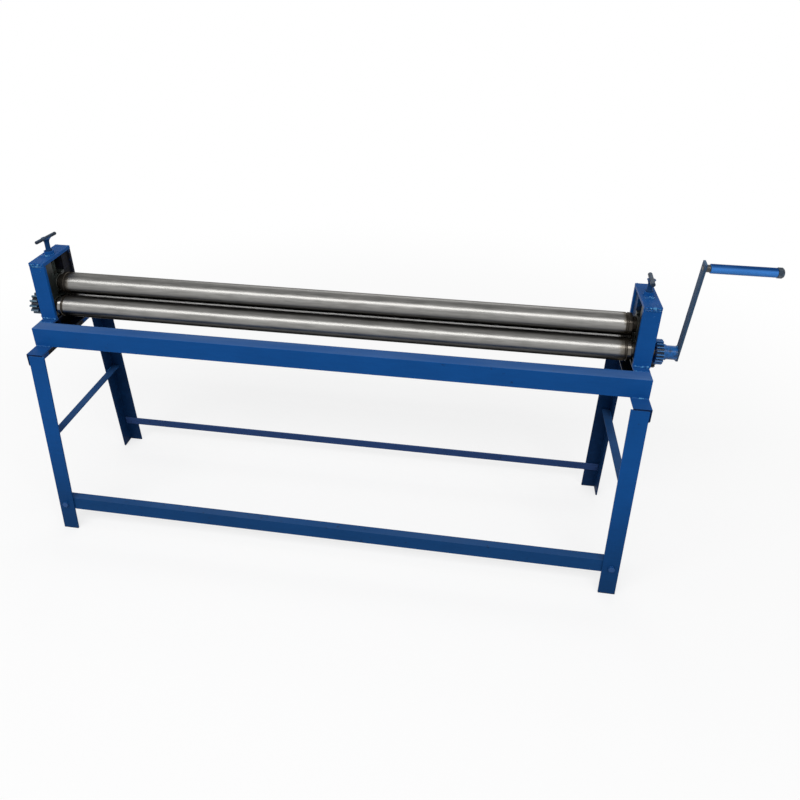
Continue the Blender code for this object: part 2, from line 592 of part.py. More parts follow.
# Pressure screws
def make_screw(suffix: str, side: int, tee_length: float, tee_dia: float, neck_dia: float,
               tee_rise: float, tee_turn: float) -> None:
    """Screw with a foot in the sliding block and a flared neck under its tee bar, and its nut."""
    axis = Vector((side * SCREW_X, HOUSING_Y, 0.0))
    r = SCREW_DIA / 2
    foot_top = SLIDE_TOP - SLOT_LIP - GAP
    tee_z = NUT_TOP + tee_rise
    waist, thread_top = NECK_WAIST_DIA / 2, NUT_TOP + LIFT_DOWN
    flare, widening = tee_z - NECK_FLARE_HEIGHT, neck_dia / 2 - waist
    profile = [(foot_top - FOOT_HEIGHT, FOOT_DIA / 2), (foot_top, FOOT_DIA / 2), (foot_top, r),
               (thread_top, r), (thread_top + r - waist, waist), (flare, waist),
               (flare + 0.45 * NECK_FLARE_HEIGHT, waist + 0.15 * widening),
               (flare + 0.75 * NECK_FLARE_HEIGHT, waist + 0.42 * widening),
               (tee_z, neck_dia / 2)]
    screw = turned("pressure_screw_" + suffix, profile, "Z", axis, "paint_blue", 28)
    saddle = cutter_cylinder("Y", Vector((0, 0, 0)), tee_dia / 2 + GAP, 3 * neck_dia, 24)
    saddle.location = axis + Vector((0, 0, tee_z))
    saddle.rotation_euler = (0, 0, tee_turn)
    shape(screw, [saddle])
    bm = bmesh.new()
    half, edge = tee_length / 2, tee_dia / 8
    tee = [(-half, tee_dia / 2 - edge), (edge - half, tee_dia / 2), (half - edge, tee_dia / 2),
           (half, tee_dia / 2 - edge)]
    spin_profile(bm, tee, "X", Vector((0, 0, 0)), 24)
    place = (Matrix.Translation(axis + Vector((0, 0, tee_z)))
             @ Matrix.Rotation(tee_turn + math.pi / 2, 4, "Z"))
    bmesh.ops.transform(bm, matrix=place, verts=bm.verts)
    finish("tee_bar_" + suffix, bm, "dark_steel", axis, smooth=True)
    bm = bmesh.new()
    low = HOUSING_TOP + GAP
    extrude(bm, [Vector((axis.x + u, axis.y + v, low)) for u, v in hexagon(SCREW_NUT_AF, 0.3)],
            Vector((0, 0, SCREW_NUT_HEIGHT)))
    nut = finish("screw_nut_" + suffix, bm, "paint_blue", Vector((0, 0, 0)))
    shape(nut, [cutter_cylinder("Z", axis + Vector((0, 0, low)), r + RUN, 4 * SCREW_NUT_HEIGHT,
                                28)])


# Rolls
def roll_half(end: float, seat_end: float | None) -> list:
    """(distance from the middle, radius) points of half a roll, middle to shaft end."""
    r = ROLL_DIA / 2
    g0 = HALF_ROLL - GROOVE_FROM_END - GROOVE_WIDTH
    half = [(g0, r), (g0 + GROOVE_WIDTH * 0.2, r - GROOVE_DEPTH),
            (g0 + GROOVE_WIDTH * 0.8, r - GROOVE_DEPTH), (g0 + GROOVE_WIDTH, r),
            (HALF_ROLL - ROLL_EDGE, r), (HALF_ROLL, r - ROLL_EDGE), (HALF_ROLL, SHOULDER_DIA / 2),
            (HALF_ROLL + SHOULDER_LENGTH, SHOULDER_DIA / 2),
            (HALF_ROLL + SHOULDER_LENGTH, JOURNAL_DIA / 2)]
    if seat_end is None:
        return half + [(end, JOURNAL_DIA / 2)]
    step = GEAR_IN - LUG_TO_GEAR / 2
    return half + [(step, JOURNAL_DIA / 2), (step, GEAR_SEAT_DIA / 2), (seat_end, GEAR_SEAT_DIA / 2)]


def make_roll(name: str, y: float, z: float, left: float | None, right: float | None) -> None:
    """One roll; left and right are the ends of its gear seats, or None for a plain journal."""
    plain = BLOCK_OUT - GAP
    left_half = roll_half(plain, left)
    right_half = roll_half(plain, right)
    profile = [(-x, r) for x, r in reversed(left_half)] + right_half
    turned(name, profile, "X", Vector((0, y, z)), "roll_steel", 40)


# Gears
def involute(base: float, radius: float) -> float:
    """Angle swept from the base circle to a radius along an involute."""
    ratio = max(radius / base, 1.0)
    t = math.sqrt(ratio * ratio - 1.0)
    return t - math.atan(t)


def gear_outline(module: float, teeth: int, phase: float) -> list:
    """(y, z) points round an involute spur gear with a tooth centred on the phase angle."""
    pitch = module * teeth / 2
    base = pitch * math.cos(math.radians(PRESSURE_ANGLE_DEG))
    tip, root = pitch + TOOTH_TOP * module, pitch - TOOTH_ROOT * module
    half_tooth = (math.pi * module / 2 - TOOTH_BACKLASH) / (2 * pitch) + involute(base, pitch)
    start = max(base, root)
    radii = [start + (tip - start) * k / 2 for k in range(3)]
    flank = [(r, half_tooth - involute(base, r)) for r in radii]
    if root < base:
        flank = [(root, half_tooth), *flank]
    points = []
    for i in range(teeth):
        centre = phase + 2 * math.pi * i / teeth
        points += [(r, centre - a) for r, a in flank] + [(r, centre + a) for r, a in flank[::-1]]
    return [(r * math.cos(a), r * math.sin(a)) for r, a in points]


def make_gear(name: str, module: float, teeth: int, phase: float, side: int, face: tuple,
              y: float, z: float, bore: float, look: str) -> None:
    """A spur gear on an X axis, with its round bore."""
    bm = bmesh.new()
    x0, x1 = mirrored(side, *face)
    rim = [bm.verts.new((x0, y + u, z + v)) for u, v in gear_outline(module, teeth, phase)]
    hole = [bm.verts.new((x0, y + bore * math.cos(2 * math.pi * i / 28),
                          z + bore * math.sin(2 * math.pi * i / 28))) for i in range(28)]
    loops = []
    for ring in (rim, hole):
        loops += [bm.edges.new(pair) for pair in zip(ring, ring[1:] + ring[:1])]
    faces = bmesh.ops.triangle_fill(bm, edges=loops, use_beauty=True)["geom"]
    swept = bmesh.ops.extrude_face_region(
        bm, geom=[f for f in faces if isinstance(f, bmesh.types.BMFace)])
    moved = [v for v in swept["geom"] if isinstance(v, bmesh.types.BMVert)]
    bmesh.ops.translate(bm, vec=Vector((x1 - x0, 0, 0)), verts=moved)
    finish(name, bm, look, Vector(((x0 + x1) / 2, y, z)))


def meshed_phase(phase: float, teeth: int, other: int, direction: float) -> float:
    """Phase of a gear whose gap takes the tooth of its neighbour along a direction."""
    turns = (direction - phase) * teeth / (2 * math.pi)
    return direction + math.pi - (0.5 - turns) * 2 * math.pi / other


def make_train(suffix: str, side: int, module: float, roll_teeth: int, idler_teeth: int,
               widths: tuple, phase: float, low: float) -> None:
    """Gears on both lower rolls, the idler that hangs between them, its pin and its lug.

    The widths are those of the front, idler and rear gears.
    """
    front, middle, rear = ((GEAR_IN, GEAR_IN + width) for width in widths)
    seat = GEAR_SEAT_DIA / 2 + RUN
    down = math.atan2(low - LOWER_Z, HOUSING_Y - FRONT_Y)
    up = math.atan2(LOWER_Z - low, REAR_Y - HOUSING_Y)
    idler_phase = meshed_phase(phase, roll_teeth, idler_teeth, down)
    rear_phase = meshed_phase(idler_phase, idler_teeth, roll_teeth, up)
    make_gear("front_gear_" + suffix, module, roll_teeth, phase, side, front, FRONT_Y, LOWER_Z,
              seat, "paint_blue")
    make_gear("rear_gear_" + suffix, module, roll_teeth, rear_phase, side, rear, REAR_Y, LOWER_Z,
              seat, "dark_steel")
    make_gear("idler_gear_" + suffix, module, idler_teeth, idler_phase, side, middle, HOUSING_Y,
              low, PIN_DIA / 2 + RUN, "dark_steel")
    half = LOWER_SPACING / 2 - JOURNAL_DIA / 2 - LUG_SIDE_CLEARANCE
    lug = block("idler_lug_" + suffix, mirrored(side, HOUSING_OUT + GAP, LUG_OUT),
                (HOUSING_Y - half, HOUSING_Y + half),
                (low - PIN_DIA / 2 - LUG_MARGIN, FRAME_TOP + LUG_RISE), "dark_steel")
    shape(lug, [cutter_cylinder("X", Vector((side * LUG_OUT, HOUSING_Y, low)),
                                PIN_DIA / 2 + RUN, 4 * LUG_THICK, 28)])
    outer = middle[1] + GAP
    pin = [(HOUSING_OUT + 2 * GAP, PIN_DIA / 2), (outer, PIN_DIA / 2), (outer, PIN_HEAD_DIA / 2),
           (outer + PIN_HEAD, PIN_HEAD_DIA / 2)]
    turned("idler_pin_" + suffix, [(side * a, r) for a, r in pin], "X",
           Vector((side * outer, HOUSING_Y, low)), "dark_steel", 28)


# Crank
def make_crank() -> None:
    """Hub on the front roll's shaft, flat arm, stud, free-turning grip and end nut."""
    axis = Vector((0, FRONT_Y, LOWER_Z))
    hub = turned("crank_hub", [(HUB_IN, HUB_FLANGE_DIA / 2),
                               (HUB_IN + HUB_FLANGE, HUB_FLANGE_DIA / 2),
                               (HUB_IN + HUB_FLANGE, HUB_DIA / 2), (HUB_OUT, HUB_DIA / 2)],
                 "X", axis, "paint_blue", 36)
    shape(hub, [cutter_cylinder("X", Vector((HUB_IN, FRONT_Y, LOWER_Z)),
                                GEAR_SEAT_DIA / 2 + RUN, 4 * HUB_LENGTH, 28)])
    half = ARM_WIDTH / 2
    outline = [(-half, -ARM_BELOW), (half, -ARM_BELOW), (half, CRANK_RADIUS + ARM_ABOVE),
               (-half, CRANK_RADIUS + ARM_ABOVE)]
    arm = along_x("crank_arm", leaned(outline, FRONT_Y, LOWER_Z, CRANK_TILT), ARM_IN, ARM_OUT,
                  "paint_grey_blue", axis)
    handle = Vector((0, HANDLE_Y, HANDLE_Z))
    shape(arm, [cutter_cylinder("X", Vector((ARM_IN, HANDLE_Y, HANDLE_Z)),
                                STUD_END_DIA / 2 + RUN, 4 * ARM_THICK, 28)])
    turned("handle_stud", [(ARM_IN, STUD_END_DIA / 2), (COLLAR_IN, STUD_END_DIA / 2),
                           (COLLAR_IN, STUD_COLLAR_DIA / 2),
                           (COLLAR_IN + STUD_COLLAR, STUD_COLLAR_DIA / 2),
                           (COLLAR_IN + STUD_COLLAR, STUD_DIA / 2),
                           (END_NUT_OUT - GAP, STUD_DIA / 2)], "X", handle, "bearing_steel", 28)
    r = GRIP_DIA / 2
    grip = turned("handle_grip", [(GRIP_IN, r - GRIP_EDGE), (GRIP_IN + GRIP_EDGE, r),
                                  (GRIP_OUT - GRIP_EDGE, r), (GRIP_OUT, r - GRIP_EDGE)],
                  "X", handle, "paint_bright", 32)
    bore = cutter_cylinder("X", Vector(((GRIP_IN + GRIP_OUT) / 2, HANDLE_Y, HANDLE_Z)),
                           STUD_DIA / 2 + RUN, 2 * GRIP_LENGTH, 28)
    shape(grip, [bore])
    bm = bmesh.new()
    extrude(bm, [Vector((END_NUT_IN, HANDLE_Y + u, HANDLE_Z + v))
                 for u, v in hexagon(END_NUT_AF, 0.2)], Vector((END_NUT_HEIGHT, 0, 0)))
    nut = finish("handle_end_nut", bm, "dark_steel", handle)
    shape(nut, [cutter_cylinder("X", Vector((END_NUT_IN, HANDLE_Y, HANDLE_Z)),
                                STUD_DIA / 2 + RUN, 4 * END_NUT_HEIGHT, 28)])
    bm = bmesh.new()
    corner = END_NUT_AF / math.sqrt(3)
    spin_profile(bm, [(END_NUT_IN - GAP, corner), (END_NUT_OUT - END_NUT_CHAMFER, corner),
                      (END_NUT_OUT, corner - END_NUT_CHAMFER)], "X", handle, 28)
    shape(nut, [tool_from(bm)], "INTERSECT")


# Build
def build() -> None:
    """Model every piece of the machine."""
    for suffix, side in (("left", -1), ("right", 1)):
        make_leg("leg_front_" + suffix, side, True)
        make_leg("leg_rear_" + suffix, side, False)
        make_end_rail("end_rail_" + suffix, side)
        make_brace("side_brace_" + suffix, side)
        make_bar_bolt(suffix, side)
        make_frame_end("frame_end_" + suffix, side)
        make_housing(suffix, side)
        make_bearings(suffix, side)
    make_lower_bars()
    make_beams()
    make_screw("left", -1, TEE_LEFT_LENGTH, TEE_LEFT_DIA, TEE_LEFT_NECK_DIA,
               TEE_LEFT_RISE, math.radians(TEE_LEFT_DEG))
    make_screw("right", 1, TEE_RIGHT_LENGTH, TEE_RIGHT_DIA, TEE_RIGHT_NECK_DIA,
               TEE_RIGHT_RISE, math.radians(TEE_RIGHT_DEG))
    make_roll("roll_upper", HOUSING_Y, UPPER_Z, None, None)
    make_roll("roll_front", FRONT_Y, LOWER_Z, LEFT_GEAR_OUT + SEAT_TAIL, HUB_OUT - GAP)
    make_roll("roll_rear", REAR_Y, LOWER_Z, LEFT_GEAR_OUT + SEAT_TAIL,
              GEAR_IN + RIGHT_REAR_FACE + SEAT_TAIL)
    make_train("right", 1, RIGHT_MODULE, RIGHT_ROLL_TEETH, RIGHT_IDLER_TEETH,
               (RIGHT_FACE, RIGHT_IDLER_FACE, RIGHT_REAR_FACE), math.radians(RIGHT_PHASE_DEG),
               RIGHT_IDLER_Z)
    make_train("left", -1, LEFT_MODULE, LEFT_ROLL_TEETH, LEFT_IDLER_TEETH,
               (LEFT_FACE, LEFT_FACE, LEFT_FACE), math.radians(LEFT_PHASE_DEG), LEFT_IDLER_Z)
    make_crank()


clear_scene()
DATUM = make_datum()
build()
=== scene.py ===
"""Looks of a hand-cranked plate rolling machine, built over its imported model.

Every sub-assembly is a class: its fields hold sizes in metres, and its methods build the pieces
and give them their finishes. A finish is a frozen dataclass that makes its material once.
"""

import json
import logging
import math
import random
from dataclasses import dataclass, field, replace
from enum import Enum

import bmesh
import bpy
from mathutils import Matrix, Vector


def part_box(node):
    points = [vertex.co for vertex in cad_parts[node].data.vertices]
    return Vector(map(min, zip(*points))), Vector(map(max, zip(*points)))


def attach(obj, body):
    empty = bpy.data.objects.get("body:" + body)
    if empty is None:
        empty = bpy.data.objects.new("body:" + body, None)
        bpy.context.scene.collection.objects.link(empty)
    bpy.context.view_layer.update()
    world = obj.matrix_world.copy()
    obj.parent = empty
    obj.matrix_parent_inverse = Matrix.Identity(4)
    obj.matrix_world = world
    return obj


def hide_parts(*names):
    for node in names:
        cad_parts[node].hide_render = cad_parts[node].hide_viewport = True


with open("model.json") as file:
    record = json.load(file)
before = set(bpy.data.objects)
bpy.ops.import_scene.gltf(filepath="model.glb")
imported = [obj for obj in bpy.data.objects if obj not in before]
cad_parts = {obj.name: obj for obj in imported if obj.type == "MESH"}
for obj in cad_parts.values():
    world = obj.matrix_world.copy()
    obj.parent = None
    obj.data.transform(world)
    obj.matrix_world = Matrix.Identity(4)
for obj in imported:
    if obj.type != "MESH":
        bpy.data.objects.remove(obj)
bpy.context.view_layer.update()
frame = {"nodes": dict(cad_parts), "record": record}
LOG = logging.getLogger("rolling_machine")

Tree = bpy.types.NodeTree
Node = bpy.types.Node
Socket = bpy.types.NodeSocket
Sockets = bpy.types.bpy_prop_collection
Mesh = bmesh.types.BMesh

WHITE = (1.0, 1.0, 1.0, 1.0)
FAR = 10.0  # beyond every piece, in metres
JOIN = 1e-6  # points closer than this are one point
RING_STEPS = 24  # corners of a round weld's path


class Side(Enum):
    """The two ends of the machine, seen from the front."""

    LEFT = "left"
    RIGHT = "right"

    @property
    def sign(self) -> int:
        """Direction along X from the middle of the machine to this end."""
        return 1 if self is Side.RIGHT else -1

    def outer(self, low: Vector, high: Vector) -> float:
        """Return where a box ends along X, away from the machine's middle."""
        return high.x if self is Side.RIGHT else low.x

    def inner(self, low: Vector, high: Vector) -> float:
        """Return where a box ends along X, towards the machine's middle."""
        return low.x if self is Side.RIGHT else high.x


class Axis(Enum):
    """Axes that round pieces are turned about."""

    X = (1, 0, 0)
    Z = (0, 0, 1)


class Slot(Enum):
    """Material slots of the record."""

    PAINT = "painted_blue"
    BRIGHT = "painted_bright"
    GREY_BLUE = "painted_grey_blue"
    ROLL = "roll_steel"
    BEARING = "bearing_steel"
    DARK = "dark_steel"


class Bench:
    """Places and joins shader nodes in one node tree."""

    SPACING = 180  # between nodes in the editor

    def __init__(self, tree: Tree) -> None:
        """Keep the tree, and start at its left."""
        self.tree = tree
        self.column = 0

    def node(self, kind: str, *sources: object, **settings: object) -> Node:
        """Add a node.

        Args:
            kind: Blender's type name, without its ShaderNode prefix.
            sources: socket or plain value for its first inputs, in their order.
            settings: node properties by name.

        Returns:
            The new node.
        """
        made = self.tree.nodes.new("ShaderNode" + kind)
        made.location = (self.column, 0)
        self.column += self.SPACING
        for name, value in settings.items():
            setattr(made, name, value)
        for socket, source in zip(made.inputs, sources):
            self.feed(socket, source)
        return made

    def feed(self, socket: Socket, source: object) -> None:
        """Link a socket to another one, or set its number or colour.

        Args:
            socket: input socket.
            source: output socket, or a plain value.
        """
        if isinstance(source, Socket):
            self.tree.links.new(source, socket)
        else:
            socket.default_value = source

    def fill(self, node: Node, **sources: object) -> Node:
        """Feed a node's inputs by name.

        Args:
            node: the node.
            sources: socket or plain value for each input; an underscore stands for a space.

        Returns:
            The same node.
        """
        for name, source in sources.items():
            self.feed(node.inputs[name.replace("_", " ")], source)
        return node

    def math(self, how: str, first: object, *others: object) -> Socket:
        """Join values by arithmetic, from the first to the last.

        Args:
            how: operation of a Math node.
            first: first value or socket.
            others: further values or sockets, none for an operation that takes one.

        Returns:
            The result's socket.
        """
        if not others:
            return self.node("Math", first, operation=how).outputs[0]
        for other in others:
            first = self.node("Math", first, other, operation=how).outputs[0]
        return first

    def plus(self, *terms: object) -> Socket:
        """Add values or sockets."""
        return self.math("ADD", *terms)

    def minus(self, *terms: object) -> Socket:
        """Subtract values or sockets from the first one."""
        return self.math("SUBTRACT", *terms)

    def times(self, *factors: object) -> Socket:
        """Multiply values or sockets."""
        return self.math("MULTIPLY", *factors)

    def span(self, value: Socket, low: float, high: float, to_low: float = 0.0,
             to_high: float = 1.0) -> Socket:
        """Map a value smoothly from the range low to high to the range to_low to to_high."""
        return self.node("MapRange", value, low, high, to_low, to_high,
                         interpolation_type="SMOOTHSTEP").outputs[0]

    def window(self, value: Socket, low: float, high: float, soft: float = 0.0006) -> Socket:
        """Return one between two limits and nothing outside them, with a soft fade at each."""
        return self.times(self.span(value, low - soft, low + soft),
                          self.span(value, high - soft, high + soft, 1.0, 0.0))

    def mix(self, share: Socket, a: object, b: object) -> Socket:
        """Mix two colours.

        Args:
            share: how much of the second colour.
            a: first colour or socket.
            b: second colour or socket.

        Returns:
            The mixed colour's socket.
        """
        made = self.node("Mix", share, data_type="RGBA")
        self.feed(made.inputs[6], a)
        self.feed(made.inputs[7], b)
        return made.outputs[2]

    def noise(self, vector: Socket, scale: float, detail: float, roughness: float) -> Socket:
        """Add a noise pattern of a scale in cells per metre, and return its value."""
        return self.fill(self.node("TexNoise"), Vector=vector, Scale=scale, Detail=detail,
                         Roughness=roughness).outputs[0]

    def stretched(self, vector: Socket, scale: tuple) -> Socket:
        """Stretch coordinates by a factor on each axis."""
        return self.fill(self.node("Mapping"), Vector=vector, Scale=scale).outputs[0]

    def toned(self, colour: tuple, value: Socket) -> Socket:
        """Make a colour lighter or darker by a factor."""
        return self.fill(self.node("HueSaturation"), Color=colour, Value=value).outputs[0]

    def part(self, vector: Socket, axis: str) -> Socket:
        """Return a vector's X, Y or Z."""
        return self.node("SeparateXYZ", vector).outputs[axis]

    def normal(self) -> Socket:
        """Return where the surface faces."""
        return self.node("NewGeometry").outputs["Normal"]

    def measure(self, how: str, *vectors: Socket) -> Socket:
        """Return the number that a vector operation gives."""
        return self.node("VectorMath", *vectors, operation=how).outputs["Value"]


class Easel(Bench):
    """The bench of one material, with its shader and its object coordinates."""

    def __init__(self, material: bpy.types.Material) -> None:
        """Find the shader, and add the coordinates.

        Args:
            material: a material with its first nodes.
        """
        super().__init__(material.node_tree)
        self.shader = self.tree.nodes["Principled BSDF"]
        self.where = self.node("TexCoord").outputs["Object"]

    def effect(self, tree: Tree, **values: object) -> Sockets:
        """Place a shared effect on the object's coordinates, and return its outputs."""
        made = self.node("Group", node_tree=tree)
        return self.fill(made, Vector=self.where, **values).outputs

    def relief(self, height: Socket, strength: float, depth: float) -> None:
        """Feed a height, of which one stands for a depth in metres, to the shader's normal."""
        bump = self.fill(self.node("Bump"), Strength=strength, Distance=depth, Height=height)
        self.fill(self.shader, Normal=bump.outputs[0])


def shader_group(name: str, outputs: tuple = ("Mask",), **inputs: object) -> tuple:
    """Start a shader node group that reads coordinates and puts out values.

    Args:
        name: the group's name.
        outputs: names of the outputs.
        inputs: default of each input after Vector; a tuple is a vector, a number is a value.

    Returns:
        The group's Bench, the sockets that give its inputs, and the node that takes its outputs.
    """
    tree = bpy.data.node_groups.new(name, "ShaderNodeTree")
    for label, value in {"Vector": (0.0, 0.0, 0.0), **inputs}.items():
        kind = "NodeSocketVector" if isinstance(value, tuple) else "NodeSocketFloat"
        socket = tree.interface.new_socket(name=label, in_out="INPUT", socket_type=kind)
        socket.default_value = value
    for label in outputs:
        tree.interface.new_socket(name=label, in_out="OUTPUT", socket_type="NodeSocketFloat")
    give, take = tree.nodes.new("NodeGroupInput"), tree.nodes.new("NodeGroupOutput")
    return Bench(tree), give.outputs, take


class Effects:
    """Shader groups shared by the finishes, each built once."""

    def __init__(self) -> None:
        """Build every group."""
        self.edges = self._edges()
        self.skin = self._paint_skin()
        self.dust = self._dust_and_top_shading()
        self.caked = self._grease_and_shade()
        self.turning = self._turning()
        self.smear = self._smear()

    def _edges(self) -> Tree:
        """Make worn edges: where a rounded normal departs from the flat one, broken up by noise.

        Returns:
            The group.
        """
        b, give, take = shader_group("worn_edges", Radius=0.0015, Amount=0.5)
        bevel = b.fill(b.node("Bevel", samples=4), Radius=give["Radius"])
        turned = b.minus(1.0, b.measure("DOT_PRODUCT", bevel.outputs[0], b.normal()))
        patches = b.noise(give["Vector"], 95.0, 4.0, 0.7)
        level = b.times(turned, b.times(patches, 5.0))
        b.fill(take, Mask=b.times(b.span(level, 0.22, 0.55), give["Amount"]))
        return b.tree

    def _paint_skin(self) -> Tree:
        """Make brushed-on paint: uneven tone, brush streaks and the height of a fine ripple.

        Returns:
            The group.
        """
        b, give, take = shader_group("paint_skin", ("Tone", "Height", "Gloss"), Unevenness=0.3)
        where = give["Vector"]
        cloud = b.noise(where, 9.0, 4.0, 0.6)
        streak = b.noise(b.stretched(where, (14.0, 90.0, 90.0)), 1.6, 3.0, 0.6)
        fine = b.noise(where, 420.0, 2.0, 0.5)
        centred = b.minus(b.plus(b.times(cloud, 0.62), b.times(streak, 0.38)), 0.5)
        b.fill(take, Tone=b.plus(1.0, b.times(centred, give["Unevenness"])),
               Height=b.plus(b.times(fine, 0.35), b.times(streak, 0.65)),
               Gloss=b.span(cloud, 0.3, 0.7))
        return b.tree

    def _dust_and_top_shading(self) -> Tree:
        """Make a streaked mask on faces that look up: thin workshop dust on most paints, painted
        sheen on the frame and painted shade on the grip.

        Returns:
            The group.
        """
        b, give, take = shader_group("dust_and_top_shading_mask", Amount=0.2)
        streaks = b.noise(b.stretched(give["Vector"], (4.0, 30.0, 30.0)), 1.0, 3.0, 0.5)
        up = b.span(b.part(b.normal(), "Z"), 0.35, 0.95)
        b.fill(take, Mask=b.times(up, b.span(streaks, 0.25, 0.75, 0.35, 1.0), give["Amount"]))
        return b.tree

    def _grease_and_shade(self) -> Tree:
        """Make a dark mask on the faces that look one way: caked grease, and painted shade where
        they lie in shadow.

        Returns:
            The group.
        """
        b, give, take = shader_group("grease_and_shade_mask", Side=(0.0, 0.0, 1.0), Amount=1.0,
                                     Behind=-FAR, Before=FAR)
        facing = b.span(b.measure("DOT_PRODUCT", b.normal(), give["Side"]), 0.3, 0.6)
        patches = b.span(b.noise(give["Vector"], 55.0, 5.0, 0.65), 0.25, 0.52, 0.6, 1.0)
        along = b.part(give["Vector"], "Y")
        between = b.times(b.span(b.minus(along, give["Behind"]), -0.001, 0.003),
                          b.span(b.minus(give["Before"], along), -0.001, 0.003))
        b.fill(take, Mask=b.times(facing, patches, between, give["Amount"]))
        return b.tree

    def _turning(self) -> Tree:
        """Make the rings left by a lathe round an X axis, with faint marks along it.

        Returns:
            The group.
        """
        b, give, take = shader_group("turning_marks", ("Rings", "Marks", "Height"))
        where = give["Vector"]
        rings = b.noise(b.stretched(where, (1.0, 0.03, 0.03)), 900.0, 3.0, 0.7)
        bands = b.noise(b.stretched(where, (1.0, 0.05, 0.05)), 120.0, 3.0, 0.6)
        marks = b.noise(b.stretched(where, (0.10, 1.0, 1.0)), 210.0, 4.0, 0.65)
        both = b.plus(b.times(rings, 0.5), b.times(bands, 0.5))
        b.fill(take, Rings=both, Marks=marks, Height=rings)
        return b.tree

    def _smear(self) -> Tree:
        """Make patches of grease and dirt.

        Returns:
            The group.
        """
        b, give, take = shader_group("grease_smear", Cover=0.5)
        patches = b.noise(give["Vector"], 70.0, 5.0, 0.62)
        low = b.minus(0.78, b.times(give["Cover"], 0.6))
        b.fill(take, Mask=b.span(b.minus(patches, low), -0.07, 0.09))
        return b.tree


EFFECTS = Effects()


@dataclass(frozen=True)
class Finish:
    """What every finish has: a name, its material slot in the record, and one material."""

    name: str
    slot: Slot
    colour: tuple
    roughness: float = 0.4

    def material(self) -> bpy.types.Material:
        """Make the finish's material at its first use.

        Returns:
            The material.
        """
        made = bpy.data.materials.get(self.name)
        if made is None:
            made = bpy.data.materials.new(self.name)
            made.use_nodes = True
            self.shade(Easel(made))
        return made

    def shade(self, b: Easel) -> None:
        """Join the finish's nodes to its shader."""
        raise NotImplementedError


@dataclass(frozen=True)
class Paint(Finish):
    """Glossy enamel brushed on steel, worn at its edges."""

    wear: float = 0.14
    worn_colour: tuple = (0.07, 0.15, 0.30, 1.0)
    worn_radius: float = 0.0014
    unevenness: float = 0.5
    # The mask on faces that look up carries workshop dust, painted sheen on the frame and
    # painted shade on the grip.
    dust: float = 0.12
    dust_colour: tuple = (0.30, 0.40, 0.48, 1.0)
    dust_roughness: float = 0.35
    specular: float = 0.035
    ripple: float = 0.25
    ripple_depth: float = 0.0004
    gloss_change: float = 0.14
    grime: float = 0.12
    grime_depth: float = 0.75
    grime_colour: tuple = (0.012, 0.016, 0.024, 1.0)
    # This darkens the faces that look one way: caked grease, and painted shade inside the
    # housings, under the frame and rolls, and on the rear legs.
    caked: float = 0.0
    caked_side: tuple = (0.0, 0.0, 1.0)
    caked_colour: tuple = (0.014, 0.012, 0.010, 1.0)
    caked_behind: float = -FAR
    caked_before: float = FAR

    def shade(self, b: Easel) -> None:
        """Join the paint's nodes to its shader.

        Args:
            b: bench of the material.
        """
        skin = b.effect(EFFECTS.skin, Unevenness=self.unevenness)
        edges = b.effect(EFFECTS.edges, Radius=self.worn_radius, Amount=self.wear)["Mask"]
        dust = b.effect(EFFECTS.dust, Amount=self.dust)["Mask"]
        smear = b.effect(EFFECTS.smear, Cover=self.grime)["Mask"]
        dirty = b.mix(b.times(smear, self.grime_depth), b.toned(self.colour, skin["Tone"]),
                      self.grime_colour)
        coat = b.mix(dust, b.mix(edges, dirty, self.worn_colour), self.dust_colour)
        if self.caked > 0.0:
            caked = b.effect(EFFECTS.caked, Side=self.caked_side, Amount=self.caked,
                             Behind=self.caked_behind, Before=self.caked_before)
            coat = b.mix(caked["Mask"], coat, self.caked_colour)
        rough = b.plus(b.times(skin["Gloss"], self.gloss_change),
                       b.plus(self.roughness - self.gloss_change / 2,
                              b.times(dust, self.dust_roughness)))
        b.fill(b.shader, Base_Color=self.over(b, coat), Specular_IOR_Level=self.specular)
        self.surface(b, rough, skin["Height"])

    def over(self, b: Easel, coat: Socket) -> Socket:
        """Return the coat's colour with what lies over it, which is nothing on plain paint."""
        return coat

    def surface(self, b: Easel, rough: Socket, ripple: Socket) -> None:
        """Join the paint's roughness and its fine ripple to its shader."""
        b.fill(b.shader, Roughness=rough)
        b.relief(ripple, self.ripple, self.ripple_depth)


@dataclass(frozen=True)
class WeldPaint(Paint):
    """Enamel over a rough weld, with bright glints on its ripples."""

    glint: tuple = (0.10, 0.36, 0.62, 1.0)
    lump_depth: float = 0.0011

    def over(self, b: Easel, coat: Socket) -> Socket:
        """Paint bright glints on the weld here and there: a painted highlight."""
        glints = b.span(b.noise(b.where, 170.0, 2.0, 0.5), 0.53, 0.63, 0.0, 0.70)
        return b.mix(glints, coat, self.glint)

    def surface(self, b: Easel, rough: Socket, ripple: Socket) -> None:
        """Join the weld's lumps and its glossy spots to its shader.

        Args:
            b: bench of the material.
            rough: roughness of the paint.
            ripple: height of its ripple.
        """
        spots = b.span(b.noise(b.where, 230.0, 2.0, 0.5), 0.48, 0.60, 1.0, 0.25)
        b.fill(b.shader, Roughness=b.times(rough, spots))
        lumps = b.plus(b.noise(b.where, 520.0, 4.0, 0.7), b.times(ripple, 0.1))
        b.relief(lumps, 0.8, self.lump_depth)


